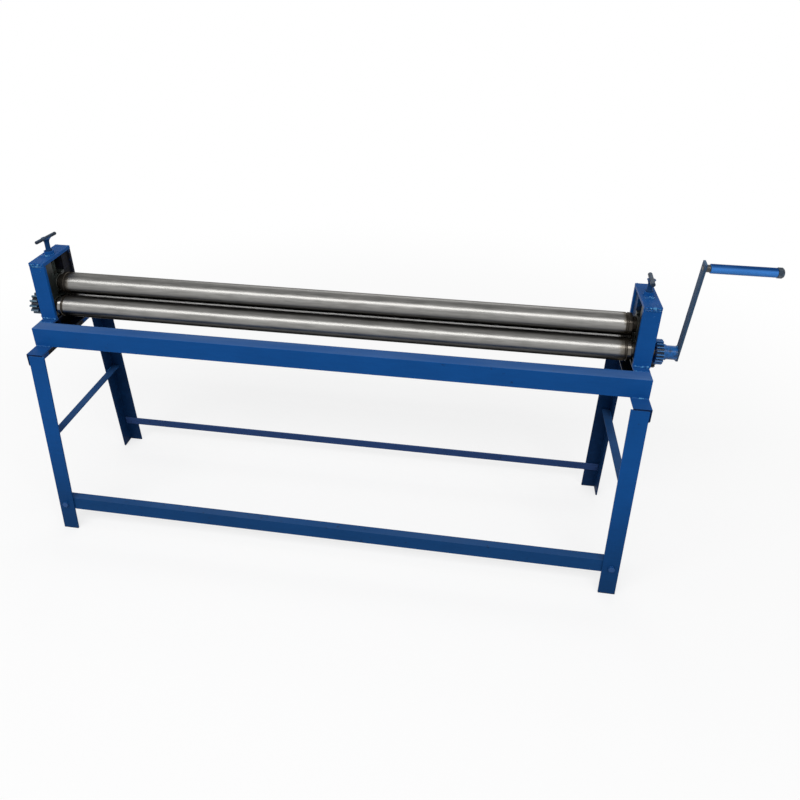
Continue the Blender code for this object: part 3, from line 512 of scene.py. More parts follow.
@dataclass(frozen=True)
class GearPaint(Paint):
    """Enamel on a gear: gaps between its teeth darkened with old grease and painted shade,
    bright lands on top.
    """

    axis: tuple = (0.0, 0.0)
    tip: float = 0.027
    depth: float = 0.005
    gap_grease_and_shade: tuple = (0.004, 0.009, 0.018, 1.0)

    def over(self, b: Easel, coat: Socket) -> Socket:
        """Darken the gaps with grease and painted shade, and rub the lands.

        Args:
            b: bench of the material.
            coat: colour of the paint.

        Returns:
            The colour of the whole.
        """
        out = b.node("VectorMath", b.where, (0.0, 1.0, 1.0),
                     (0.0, -self.axis[0], -self.axis[1]), operation="MULTIPLY_ADD")
        reach = b.measure("LENGTH", out.outputs[0])
        rim = b.span(b.math("ABSOLUTE", b.part(b.normal(), "X")), 0.5, 0.9, 1.0, 0.0)
        gap = b.span(reach, self.tip - self.depth, self.tip - 0.30 * self.depth, 0.92, 0.0)
        land = b.span(reach, self.tip - 0.0009, self.tip - 0.0004, 0.0, 0.55)
        gaps_darkened = b.mix(b.times(gap, rim), coat, self.gap_grease_and_shade)
        return b.mix(b.times(land, rim), gaps_darkened, self.worn_colour)


@dataclass(frozen=True)
class RailPaint(Paint):
    """Enamel on a rail, darker on the faces that look to the front."""

    front_face_colour: tuple = (0.0025, 0.014, 0.058, 1.0)

    def over(self, b: Easel, coat: Socket) -> Socket:
        """Darken the faces that look to the front."""
        # The mask covers the faces that look to the front, which get a dark navy.
        cut = b.effect(EFFECTS.caked, Side=(0.0, -1.0, 0.0))
        return b.mix(cut["Mask"], coat, self.front_face_colour)


@dataclass(frozen=True)
class BarePaint(Paint):
    """Enamel that ends in bare greasy steel under a height, and above it is painted darker
    towards the floor: painted shade.
    """

    bare_under: float = 0.001
    bare_colour: tuple = (0.040, 0.050, 0.070, 1.0)
    ragged: float = 0.03
    low_shade: float = 0.0
    low_shade_top: float = 0.32
    low_shade_colour: tuple = (0.006, 0.022, 0.046, 1.0)

    def over(self, b: Easel, coat: Socket) -> Socket:
        """Bare the steel under the height, and darken the enamel towards the floor above it:
        painted shade.

        Args:
            b: bench of the material.
            coat: colour of the paint.

        Returns:
            The colour of the whole.
        """
        patches = b.noise(b.where, 180.0, 4.0, 0.6)
        height = b.plus(b.part(b.where, "Z"), b.times(b.minus(patches, 0.5), self.ragged))
        bare = b.span(height, self.bare_under - 0.001, self.bare_under, 1.0, 0.0)
        if self.low_shade > 0.0:
            low_shaded = b.span(height, 0.0, self.low_shade_top, self.low_shade, 0.0)
            coat = b.mix(low_shaded, coat, self.low_shade_colour)
        steel = b.mix(b.span(patches, 0.35, 0.65), self.bare_colour, self.caked_colour)
        return b.mix(bare, coat, steel)


@dataclass(frozen=True)
class GroundRoll(Finish):
    """Turned and ground steel of the rolls: painted shade underneath, greasy towards the ends,
    with painted shade of the housing at the left end.
    """

    half_length: float = 0.65
    middle: float = 0.0
    groove: tuple = (0.637, 0.642)
    left_grease_and_shade: float = 0.014
    greasy_right: float = 0.012
    right_grease: float = 1.0
    grazing: float = 0.34
    underside_shade: float = 0.93
    underside_shade_colour: tuple = (0.016, 0.015, 0.014, 1.0)
    varnish_colour: tuple = (0.100, 0.082, 0.056, 1.0)
    oil_colour: tuple = (0.022, 0.017, 0.012, 1.0)

    def shade(self, b: Easel) -> None:
        """Join the steel's nodes to its shader.

        Args:
            b: bench of the material.
        """
        turning = b.effect(EFFECTS.turning)
        cloud = b.noise(b.stretched(b.where, (0.35, 1.0, 1.0)), 24.0, 4.0, 0.55)
        streaks = b.span(turning["Marks"], 0.34, 0.62)
        tone = b.plus(0.70, b.plus(b.times(turning["Rings"], 0.10),
                                   b.plus(b.times(streaks, 0.24), b.times(cloud, 0.26))))
        # Faces that look down darken to near black: painted shade under the roll.
        underside_shade = b.times(b.span(b.part(b.normal(), "Z"), -0.58, 0.34, 1.0, 0.0), self.underside_shade)
        underside_shaded = b.mix(underside_shade, b.toned(self.colour, tone), self.underside_shade_colour)
        near, ring = self._ends(b)
        # Near the left end the varnish and oil also paint the housing's shadow on the roll:
        # painted shade with the grease.
        end_varnish_and_shade = b.mix(b.span(near, 0.0, 0.5, 0.0, 0.62), underside_shaded, self.varnish_colour)
        end_oil_and_shade = b.mix(b.span(near, 0.3, 1.0, 0.0, 0.80), end_varnish_and_shade, self.oil_colour)
        rough = b.plus(b.minus(self.roughness - 0.04, b.times(ring, 0.12)),
                       b.times(streaks, 0.07))
        b.fill(b.shader, Base_Color=end_oil_and_shade, Metallic=b.span(near, 0.4, 1.0, 1.0, 0.75),
               Roughness=rough, Specular_Tint=(self.grazing,) * 3 + (1.0,))
        b.relief(turning["Height"], 0.03, 0.00010)

    def _ends(self, b: Easel) -> tuple:
        """Find where the roll's ends darken: grease crept over them, with painted shade of the
        housing at the left end and in the end grooves.

        Args:
            b: bench of the material.

        Returns:
            Sockets of the greasy part's mask and of the end ring's mask.
        """
        along = b.minus(b.part(b.where, "X"), self.middle)
        out = b.math("ABSOLUTE", along)
        ragged = b.minus(b.noise(b.stretched(b.where, (1.0, 1.5, 1.5)), 40.0, 5.0, 0.7), 0.5)
        edge = self.half_length - self.greasy_right
        right = b.span(b.plus(along, b.times(ragged, 0.040)), edge - 0.010, edge + 0.008,
                       0.0, self.right_grease)
        # The left band stands for grease and for the housing's shadow on the roll: painted
        # shade.
        edge = self.half_length - self.left_grease_and_shade
        left = b.span(b.minus(b.times(ragged, 0.014), along), edge - 0.012, edge + 0.003)
        ring = b.window(out, self.groove[1], self.half_length + 0.0004)
        groove = b.window(out, self.groove[0] - 0.0015, self.groove[1])
        past = b.span(out, self.half_length - 0.0002, self.half_length + 0.0006, 0.0, 0.7)
        return b.math("MAXIMUM", left, right, groove, past), ring


@dataclass(frozen=True)
class WorkedSteel(Finish):
    """Bare or blackened steel with smears of grease."""

    metallic: float = 0.8
    grease: float = 0.45
    grease_colour: tuple = (0.035, 0.033, 0.026, 1.0)
    edge: float = 0.5
    edge_colour: tuple = (0.30, 0.30, 0.29, 1.0)
    edge_radius: float = 0.0012
    grain: float = 60.0
    specular: float = 0.3

    def shade(self, b: Easel) -> None:
        """Join the steel's nodes to its shader.

        Args:
            b: bench of the material.
        """
        patches = b.noise(b.where, self.grain, 5.0, 0.65)
        fine = b.noise(b.where, 700.0, 3.0, 0.6)
        smear = b.effect(EFFECTS.smear, Cover=self.grease)["Mask"]
        edges = b.effect(EFFECTS.edges, Radius=self.edge_radius, Amount=self.edge)["Mask"]
        steel = b.toned(self.colour, b.span(patches, 0.25, 0.75, 0.55, 1.45))
        rubbed = b.mix(edges, steel, self.edge_colour)
        b.fill(b.shader, Base_Color=b.mix(b.times(smear, 0.9), rubbed, self.grease_colour),
               Metallic=b.span(smear, 0.0, 1.0, self.metallic, self.metallic * 0.25),
               Roughness=b.plus(self.roughness - 0.08, b.times(patches, 0.2)),
               Specular_IOR_Level=self.specular)
        b.relief(b.plus(fine, patches), 0.3, 0.00025)


@dataclass(frozen=True)
class Grease(Finish):
    """Dark, wet bearing grease."""

    def shade(self, b: Easel) -> None:
        """Join the grease's nodes to its shader.

        Args:
            b: bench of the material.
        """
        lumps = b.noise(b.where, 240.0, 4.0, 0.6)
        b.fill(b.shader, Base_Color=b.toned(self.colour, b.span(lumps, 0.3, 0.7, 0.5, 1.6)),
               Roughness=b.span(lumps, 0.3, 0.7, self.roughness, 0.5))
        b.relief(lumps, 0.6, 0.0008)


BLUE = (0.0072, 0.0755, 0.280, 1.0)
# A darker copy of BLUE for the lower stand: painted shade.
SHADED_LOW_BLUE = (0.0085, 0.056, 0.182, 1.0)
# A darker, greyer blue that the housing paints take on faces that look up.
UP_FACE_TONE = (0.0200, 0.058, 0.150, 1.0)
# Near black for the tops under the rolls and between the beams: grime, and painted shade cast by
# the parts above.
BLACK_GRIME_AND_SHADE = (0.0045, 0.0042, 0.0045, 1.0)
# Black for the housings' inner faces and undersides: grease, and painted shade inside the
# housing.
BLACK_GREASE_AND_SHADE = (0.008, 0.009, 0.015, 1.0)
GREY_GREASE = (0.050, 0.066, 0.060, 1.0)

# The front legs darken towards the floor: painted shade.
STAND_PAINT = BarePaint("stand_paint", Slot.PAINT, BLUE, 0.42, dust=0.15, low_shade=0.55)
LOW_PAINT = BarePaint("low_stand_paint", Slot.PAINT, SHADED_LOW_BLUE, 0.46, grime=0.17, dust=0.05)
REAR_BAR_PAINT = replace(LOW_PAINT, name="rear_bar_paint", colour=(0.028, 0.066, 0.196, 1.0))
# The frame's pale tint on faces that look up is mostly painted sheen, with some dust.
FRAME_PAINT = Paint("frame_paint", Slot.PAINT, BLUE, 0.36, dust=0.20)
HOUSING_PAINT = Paint("housing_paint", Slot.PAINT, BLUE, 0.34, dust=0.45, dust_colour=UP_FACE_TONE,
                      wear=0.06)
WELD_PAINT = WeldPaint("weld_paint", Slot.PAINT, (0.0045, 0.082, 0.280, 1.0), 0.44, wear=0.0,
                       specular=0.28, dust=0.0)
BOLT_PAINT = Paint("bolt_paint", Slot.PAINT, (0.012, 0.070, 0.230, 1.0), 0.30, wear=0.4,
                   worn_colour=(0.09, 0.22, 0.45, 1.0), grime=0.15, specular=0.2, dust=0.0)
SCREW_PAINT = BarePaint("screw_paint", Slot.PAINT, (0.0080, 0.044, 0.140, 1.0), 0.30, dust=0.03,
                        wear=0.3, ragged=0.0, bare_colour=GREY_GREASE)
TEE_PAINT = Paint("tee_paint", Slot.DARK, (0.026, 0.048, 0.088, 1.0), 0.42, wear=0.4,
                  worn_colour=(0.045, 0.045, 0.055, 1.0), unevenness=0.9, grime=0.5,
                  specular=0.1, dust=0.08)
RIGHT_GEAR_PAINT = GearPaint("right_gear_paint", Slot.PAINT, (0.004, 0.062, 0.22, 1.0), 0.30,
                             wear=0.7, worn_colour=(0.05, 0.20, 0.45, 1.0), grime=0.3,
                             specular=0.3, depth=0.0051)
LEFT_GEAR_PAINT = GearPaint("left_gear_paint", Slot.PAINT, (0.005, 0.032, 0.070, 1.0), 0.26,
                            wear=0.8, worn_colour=(0.10, 0.22, 0.30, 1.0), grime=0.4,
                            specular=0.5, depth=0.0077)
HUB_PAINT = Paint("hub_paint", Slot.PAINT, (0.008, 0.105, 0.34, 1.0), 0.28, wear=0.6,
                  specular=0.25, grime=0.38, dust=0.04, unevenness=1.0)
ARM_PAINT = Paint("arm_paint", Slot.GREY_BLUE, (0.040, 0.080, 0.145, 1.0), 0.42, wear=0.5,
                  unevenness=0.9, worn_colour=(0.16, 0.15, 0.17, 1.0))
# The grip's faces that look up take a dark navy: painted shade on its top.
GRIP_PAINT = Paint("grip_paint", Slot.BRIGHT, (0.045, 0.195, 0.560, 1.0), 0.30, wear=0.2,
                   specular=0.06, unevenness=0.6, dust=1.3,
                   dust_colour=(0.004, 0.040, 0.150, 1.0))
# GUIDE_PAINT is a darker blue for the right rear guide, and GUIDE_STEEL a near black for the
# left one: painted shade inside the housings.
GUIDE_PAINT = Paint("guide_paint", Slot.BEARING, (0.006, 0.050, 0.165, 1.0), 0.40, grime=0.5,
                    dust=0.0)
GUIDE_STEEL = WorkedSteel("guide_steel", Slot.BEARING, (0.009, 0.010, 0.019, 1.0), 0.55,
                          metallic=0.0, grease=0.6, grease_colour=(0.006, 0.006, 0.008, 1.0),
                          edge=0.3, edge_colour=(0.05, 0.05, 0.055, 1.0), specular=0.06)
BLOCK_STEEL = WorkedSteel("block_steel", Slot.BEARING, (0.048, 0.066, 0.062, 1.0), 0.42,
                          metallic=0.35, grease=0.75, grease_colour=(0.012, 0.014, 0.013, 1.0),
                          edge=0.8, edge_colour=(0.24, 0.27, 0.25, 1.0))
DARK_STEEL = WorkedSteel("dark_steel_finish", Slot.DARK, (0.026, 0.030, 0.040, 1.0), 0.42,
                         metallic=0.4, grease=0.5, grease_colour=(0.016, 0.012, 0.009, 1.0),
                         edge=0.7, edge_colour=(0.20, 0.16, 0.13, 1.0))
STUD_STEEL = WorkedSteel("stud_steel", Slot.BEARING, (0.085, 0.082, 0.078, 1.0), 0.35,
                         metallic=0.7, grease=0.4)
NUT_STEEL = WorkedSteel("end_nut_steel", Slot.DARK, (0.035, 0.055, 0.080, 1.0), 0.36,
                        metallic=0.3, grease=0.35, grease_colour=(0.010, 0.012, 0.016, 1.0),
                        edge=0.4, edge_colour=(0.10, 0.12, 0.14, 1.0))
UPPER_STEEL = GroundRoll("roll_upper_steel", Slot.ROLL, (0.245, 0.241, 0.231, 1.0), 0.32)
FRONT_STEEL = replace(UPPER_STEEL, name="roll_front_steel", left_grease_and_shade=-0.03,
                      greasy_right=0.020, right_grease=0.6)
# The rear roll's steel is made lighter than the other rolls: a painted highlight, so that the
# slit between the upper and front rolls shows bright.
REAR_STEEL = replace(UPPER_STEEL, name="roll_rear_steel", colour=(0.66, 0.66, 0.65, 1.0),
                     roughness=0.30, grazing=1.0)
GREASE = Grease("bearing_grease", Slot.DARK, (0.022, 0.022, 0.016, 1.0), 0.22)


def grease_and_shade_paint(name: str, side: tuple, colour: tuple, behind: float = -FAR,
                before: float = FAR, kind: type[Paint] = Paint) -> Paint:
    """Mix an enamel with a dark colour on the faces that look one way: old grease, and painted
    shade where they lie in shadow.

    Args:
        name: the finish's name.
        side: where the greasy faces look.
        colour: colour of the grease and painted shade.
        behind: the dark colour starts at this place along Y.
        before: it stops at this place along Y.
        kind: the sort of enamel.

    Returns:
        The finish.
    """
    return kind(name, Slot.PAINT, BLUE, 0.34, dust=0.45, dust_colour=UP_FACE_TONE, wear=0.05,
                caked=1.0, caked_side=tuple(Vector(side).normalized()), caked_colour=colour,
                caked_behind=behind, caked_before=before)


def middle_of(node: str) -> Vector:
    """Return the middle of a node's box."""
    low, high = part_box(node)
    return (low + high) / 2


def linked(name: str, data: object) -> bpy.types.Object:
    """Put a new object in the scene.

    Args:
        name: the object's name.
        data: its mesh, lamp or camera.

    Returns:
        The object.
    """
    made = bpy.data.objects.new(name, data)
    bpy.context.scene.collection.objects.link(made)
    return made


class Workshop:
    """Makes finished pieces out of meshes, and says which body each rides on."""

    def __init__(self) -> None:
        """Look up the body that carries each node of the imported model."""
        bodies = frame["record"]["behaviour"]["bodies"]
        self.carrier = {node: body for body, nodes in bodies.items() for node in nodes}

    def piece(self, name: str, bm: Mesh, body: str, finish: Finish, replaced: tuple = (),
              smooth: float = 35.0, weighted: bool = False) -> None:
        """Turn a bmesh in row coordinates into a piece that rides on a body.

        Args:
            name: name of the piece.
            bm: its mesh, which is freed.
            body: the body that carries it.
            finish: its finish.
            replaced: nodes that it stands for.
            smooth: largest angle in degrees that is shaded smooth.
            weighted: whether large faces keep their own normals.
        """
        mesh = bpy.data.meshes.new(name)
        bm.to_mesh(mesh)
        bm.free()
        mesh.shade_smooth()
        mesh.set_sharp_from_angle(angle=math.radians(smooth))
        mesh.materials.append(finish.material())
        obj = linked(name, mesh)
        if weighted:
            obj.modifiers.new("normals", "WEIGHTED_NORMAL").keep_sharp = True
        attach(obj, body)
        if replaced:
            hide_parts(*replaced)
        LOG.info("piece %s: %d faces, rides on %s", name, len(mesh.polygons), body)

    def rounded(self, node: str, width: float, finish: Finish, segments: int = 2) -> None:
        """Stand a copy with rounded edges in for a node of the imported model.

        Args:
            node: name of the node.
            width: how far the rounding reaches.
            finish: finish of the copy.
            segments: faces across the rounding.
        """
        bm = bmesh.new()
        bm.from_mesh(frame["nodes"][node].data)
        bmesh.ops.remove_doubles(bm, verts=bm.verts, dist=2 * JOIN)
        bmesh.ops.dissolve_limit(bm, angle_limit=math.radians(1.0), verts=bm.verts,
                                 edges=bm.edges)
        limit = math.radians(40.0)
        sharp = [e for e in bm.edges if len(e.link_faces) == 2
                 and e.calc_face_angle(0.0) > limit]
        bmesh.ops.bevel(bm, geom=sharp, offset=width, offset_type="OFFSET", segments=segments,
                        profile=0.5, affect="EDGES", clamp_overlap=True, material=-1)
        self.piece(node + "_dressed", bm, self.carrier[node], finish, (node,), 40.0, True)

    @staticmethod
    def turned(profile: list, centre: Vector, steps: int, axis: Axis = Axis.X) -> Mesh:
        """Turn an outline of (place on the axis, radius) points round an X or Z axis.

        Args:
            profile: the outline, from one end of the axis to the other.
            centre: a point on the axis.
            steps: faces round the axis.
            axis: the axis.

        Returns:
            The turned solid.
        """
        bm = bmesh.new()
        points = [(profile[0][0], 0.0), *profile, (profile[-1][0], 0.0)]
        if axis is Axis.X:
            verts = [bm.verts.new((a, centre.y, centre.z + r)) for a, r in points]
        else:
            verts = [bm.verts.new((centre.x + r, centre.y, a)) for a, r in points]
        edges = [bm.edges.new(pair) for pair in zip(verts, verts[1:])]
        bmesh.ops.spin(bm, geom=verts + edges, cent=centre, axis=axis.value,
                       angle=2 * math.pi, steps=steps, use_merge=True)
        bmesh.ops.remove_doubles(bm, verts=bm.verts, dist=JOIN)
        bmesh.ops.recalc_face_normals(bm, faces=bm.faces)
        return bm


WORKSHOP = Workshop()


def seam(x: object, y: object, z: object) -> list:
    """Return the two ends of a straight weld.

    Args:
        x: its place along X, or (start, stop) where that changes.
        y: its place along Y, or (start, stop).
        z: its place along Z, or (start, stop).

    Returns:
        The ends.
    """
    pairs = [place if isinstance(place, tuple) else (place, place) for place in (x, y, z)]
    return [Vector(end) for end in zip(*pairs)]


@dataclass
class WeldBead:
    """A hand-laid weld: a row of overlapping ripples along a path."""

    radius: float
    seed: int
    pitch: float = 0.0046
    corners: int = 8
    swell: tuple = (1.12, 0.98, 0.66, 0.92)
    taper: float = 0.35

    def lay(self, bm: Mesh, path: list, closed: bool = False) -> None:
        """Add a bead to a mesh.

        Args:
            bm: the mesh that takes it.
            path: points that it follows.
            closed: whether the path returns to its start.
        """
        dice = random.Random(self.seed)
        points = self._walk(path + path[:1] if closed else path)
        places = []
        for index, here in enumerate(points):
            ahead = points[min(index + 1, len(points) - 1)] - points[max(index - 1, 0)]
            turn = Vector((0, 0, 1)).rotation_difference(ahead).to_matrix().to_4x4()
            grown = self.swell[index % len(self.swell)] * dice.uniform(0.82, 1.16)
            if not closed and index in (0, len(points) - 1):
                grown = self.taper
            shift = Vector([dice.uniform(-0.2, 0.2) * self.radius for _ in range(3)])
            places.append(Matrix.Translation(here + shift) @ turn @ Matrix.Scale(grown, 4))
        made = bmesh.ops.create_circle(bm, cap_ends=False, segments=self.corners,
                                       radius=self.radius)["verts"]
        bmesh.ops.transform(bm, matrix=places[0], verts=made)
        first = list({e for v in made for e in v.link_edges})
        loop = first
        for before, after in zip(places, places[1:]):
            drawn = bmesh.ops.extrude_edge_only(bm, edges=loop)["geom"]
            loop = [g for g in drawn if isinstance(g, bmesh.types.BMEdge)]
            moved = [g for g in drawn if isinstance(g, bmesh.types.BMVert)]
            bmesh.ops.transform(bm, matrix=after @ before.inverted(), verts=moved)
        bmesh.ops.holes_fill(bm, edges=first + loop, sides=self.corners)

    def _walk(self, path: list) -> list:
        """Find points a quarter of a ripple apart along a path.

        Args:
            path: corners of the path.

        Returns:
            The points.
        """
        walked = []
        for a, b in zip(path, path[1:]):
            count = max(2, round((b - a).length / self.pitch * len(self.swell)))
            walked += [a.lerp(b, i / count) for i in range(count)]
        return walked + [path[-1]]


@dataclass
class WeldJob:
    """All welds of one sub-assembly, joined in one piece."""

    name: str
    body: str
    finish: Finish = WELD_PAINT
    beads: int = 0
    mesh: Mesh = field(default_factory=bmesh.new)

    def run(self, path: list, radius: float, closed: bool = False) -> None:
        """Lay one bead.

        Args:
            path: points that it follows.
            radius: half its width.
            closed: whether it returns to its start.
        """
        self.beads += 1
        bead = WeldBead(radius, self.beads * 7 + len(self.name))
        bead.lay(self.mesh, [Vector(point) for point in path], closed)

    def ring(self, centre: Vector, reach: float, radius: float, axis: Axis = Axis.X) -> None:
        """Lay a bead round an X or Z axis.

        Args:
            centre: middle of the ring.
            reach: radius of the ring.
            radius: half the bead's width.
            axis: the axis.
        """
        path = []
        for step in range(RING_STEPS):
            turn = 2 * math.pi * step / RING_STEPS
            u, v = reach * math.cos(turn), reach * math.sin(turn)
            path.append(centre + Vector((0, u, v) if axis is Axis.X else (u, v, 0)))
        self.run(path, radius, True)

    def drop(self, fineness: int, radius: float) -> list:
        """Add a ball of weld metal round the origin, and return its corners."""
        return bmesh.ops.create_icosphere(self.mesh, subdivisions=fineness,
                                          radius=radius)["verts"]

    def lumps(self, ends: list, radius: float, apart: float) -> None:
        """Lay a coarse weld of separate overlapping lumps.

        Args:
            ends: where it starts and stops.
            radius: mean radius of a lump.
            apart: mean distance between lumps.
        """
        self.beads += 1
        dice = random.Random(self.beads * 13 + len(self.name))
        first, last = ends
        count = max(2, round((last - first).length / apart))
        for index in range(count + 1):
            share = min(1.0, max(0.0, (index + dice.uniform(-0.22, 0.22)) / count))
            lump = self.drop(2, radius * dice.uniform(0.72, 1.12))
            bmesh.ops.scale(self.mesh, vec=(dice.uniform(1.0, 1.35), dice.uniform(0.75, 1.0),
                                            dice.uniform(0.7, 0.95)), verts=lump)
            bmesh.ops.rotate(self.mesh, matrix=Matrix.Rotation(dice.uniform(-0.5, 0.5), 3, "Z"),
                             verts=lump)
            bmesh.ops.translate(self.mesh, vec=first.lerp(last, share), verts=lump)

    def spatter(self, ends: list, count: int, size: float = 0.0009) -> None:
        """Scatter droplets over a rectangle.

        Args:
            ends: its lowest and its highest corner.
            count: number of droplets.
            size: largest radius.
        """
        dice = random.Random(count + len(self.name))
        for _ in range(count):
            where = Vector([dice.uniform(a, b) for a, b in zip(*ends)])
            bmesh.ops.translate(self.mesh, vec=where,
                                verts=self.drop(1, size * dice.uniform(0.4, 1.0)))

    def done(self) -> None:
        """Finish the piece."""
        bmesh.ops.recalc_face_normals(self.mesh, faces=self.mesh.faces)
        WORKSHOP.piece(self.name, self.mesh, self.body, self.finish, smooth=50.0)


@dataclass
class Stand:
    """Legs, end rails, braces and lower bars of the stand."""

    edge: float = 0.0009
    bolt_edge: float = 0.0005
    bead: float = 0.0024
    bead_start: float = 0.006
    bead_end: float = 0.034
    bead_inset: float = 0.003
    wall_inset: float = 0.0045
    brace_bead: float = 0.0019
    brace_start: float = 0.010
    bar_bead: float = 0.0030
    bar_inset: float = 0.001
    # Darker blue for the rear legs' faces that look inwards and forwards: painted shade.
    shaded: tuple = (0.0040, 0.024, 0.082, 1.0)

    def build(self) -> None:
        """Build and dress the stand."""
        for side in Side:
            end = side.value
            # The end rail's top between the beams turns near black: grime, and painted shade
            # under the frame.
            rail_paint = grease_and_shade_paint("end_rail_paint_" + end, (-side.sign, 0, 1), BLACK_GRIME_AND_SHADE,
                                     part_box("beam_front")[1].y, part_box("beam_rear")[0].y,
                                     RailPaint)
            # The rear legs' faces that look inwards and forwards take a darker blue: painted
            # shade.
            inside = Vector((-side.sign, -1, 0)).normalized()
            leg_paint = replace(LOW_PAINT, name="rear_leg_paint_" + end, caked=1.0,
                                caked_side=tuple(inside), caked_colour=self.shaded)
            for node, width, finish in (
                    ("leg_front_", self.edge, STAND_PAINT), ("end_rail_", self.edge, rail_paint),
                    ("leg_rear_", self.edge, leg_paint), ("side_brace_", self.edge, LOW_PAINT),
                    ("bar_bolt_", self.bolt_edge, BOLT_PAINT),
                    ("bar_nut_", self.bolt_edge, BOLT_PAINT)):
                WORKSHOP.rounded(node + end, width, finish)
            self._welds(side)
        WORKSHOP.rounded("lower_front_bar", self.edge, LOW_PAINT)
        WORKSHOP.rounded("lower_rear_bar", self.edge, REAR_BAR_PAINT)

    def _welds(self, side: Side) -> None:
        """Weld legs to the end rail, the brace to the legs, and the rear bar to its leg.

        Args:
            side: the end of the machine.
        """
        job = WeldJob("stand_welds_" + side.value, "stand")
        rail_low, rail_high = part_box("end_rail_" + side.value)
        outer, inward = side.outer(rail_low, rail_high), -side.sign
        for leg, face, back in (("leg_front_", rail_low.y, 1), ("leg_rear_", rail_high.y, -1)):
            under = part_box(leg + side.value)[1].z
            job.run(seam((outer + inward * self.bead_start, outer + inward * self.bead_end),
                         face + back * self.bead_inset, under), self.bead)
            job.run(seam(outer + inward * self.wall_inset,
                         (face + back * self.bead_start, face + back * self.bead_end),
                         rail_low.z), self.bead)
        low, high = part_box("side_brace_" + side.value)
        for y, back in ((low.y, 1), (high.y, -1)):
            job.run(seam(side.outer(low, high),
                         (y + back * self.brace_start, y + back * self.bead_end), high.z),
                    self.brace_bead)
        low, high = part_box("lower_rear_bar")
        job.run(seam(side.outer(low, high) + inward * self.bar_inset,
                     (high.y, high.y - self.bar_inset),
                     (low.z + self.bead_inset, high.z - self.bar_inset)), self.bar_bead)
        job.done()


@dataclass
class Frame:
    """The two beams and the two coped ends between them."""

    edge: float = 0.0010
    end_inset: float = 0.002
    corner_bead: float = 0.0013
    corner_depth: float = 0.027
    corner_sink: float = 0.0004
    rail_bead: float = 0.0021
    rail_width: float = 0.036
    rail_sink: float = 0.0005

    def build(self) -> None:
        """Build and dress the frame."""
        for node in ("beam_front", "beam_rear"):
            WORKSHOP.rounded(node, self.edge, FRAME_PAINT)
        for side in Side:
            end = side.value
            # The frame end's top between the housings turns near black: grime, and painted shade
            # under the rolls.
            coat = grease_and_shade_paint("frame_end_paint_" + end, (-side.sign, 0, 1), BLACK_GRIME_AND_SHADE,
                               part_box("housing_front_" + end)[1].y,
                               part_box("housing_rear_" + end)[0].y)
            WORKSHOP.rounded("frame_end_" + end, self.edge, coat)
            self._welds(side)

    def _welds(self, side: Side) -> None:
        """Weld the frame's corners and the beams to the end rails.

        Args:
            side: the end of the machine.
        """
        job = WeldJob("frame_welds_" + side.value, "stand")
        low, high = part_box("frame_end_" + side.value)
        across = (side.inner(low, high), side.outer(low, high) - side.sign * self.end_inset)
        for y in (low.y + self.corner_depth, high.y - self.corner_depth):
            job.run(seam(across, y, high.z - self.corner_sink), self.corner_bead)
        for beam in ("beam_front", "beam_rear"):
            low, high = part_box(beam)
            face = low.y + self.rail_sink if beam == "beam_front" else high.y - self.rail_sink
            end = side.outer(low, high)
            job.run(seam((end - side.sign * self.end_inset, end - side.sign * self.rail_width),
                         face, low.z), self.rail_bead)
        job.done()


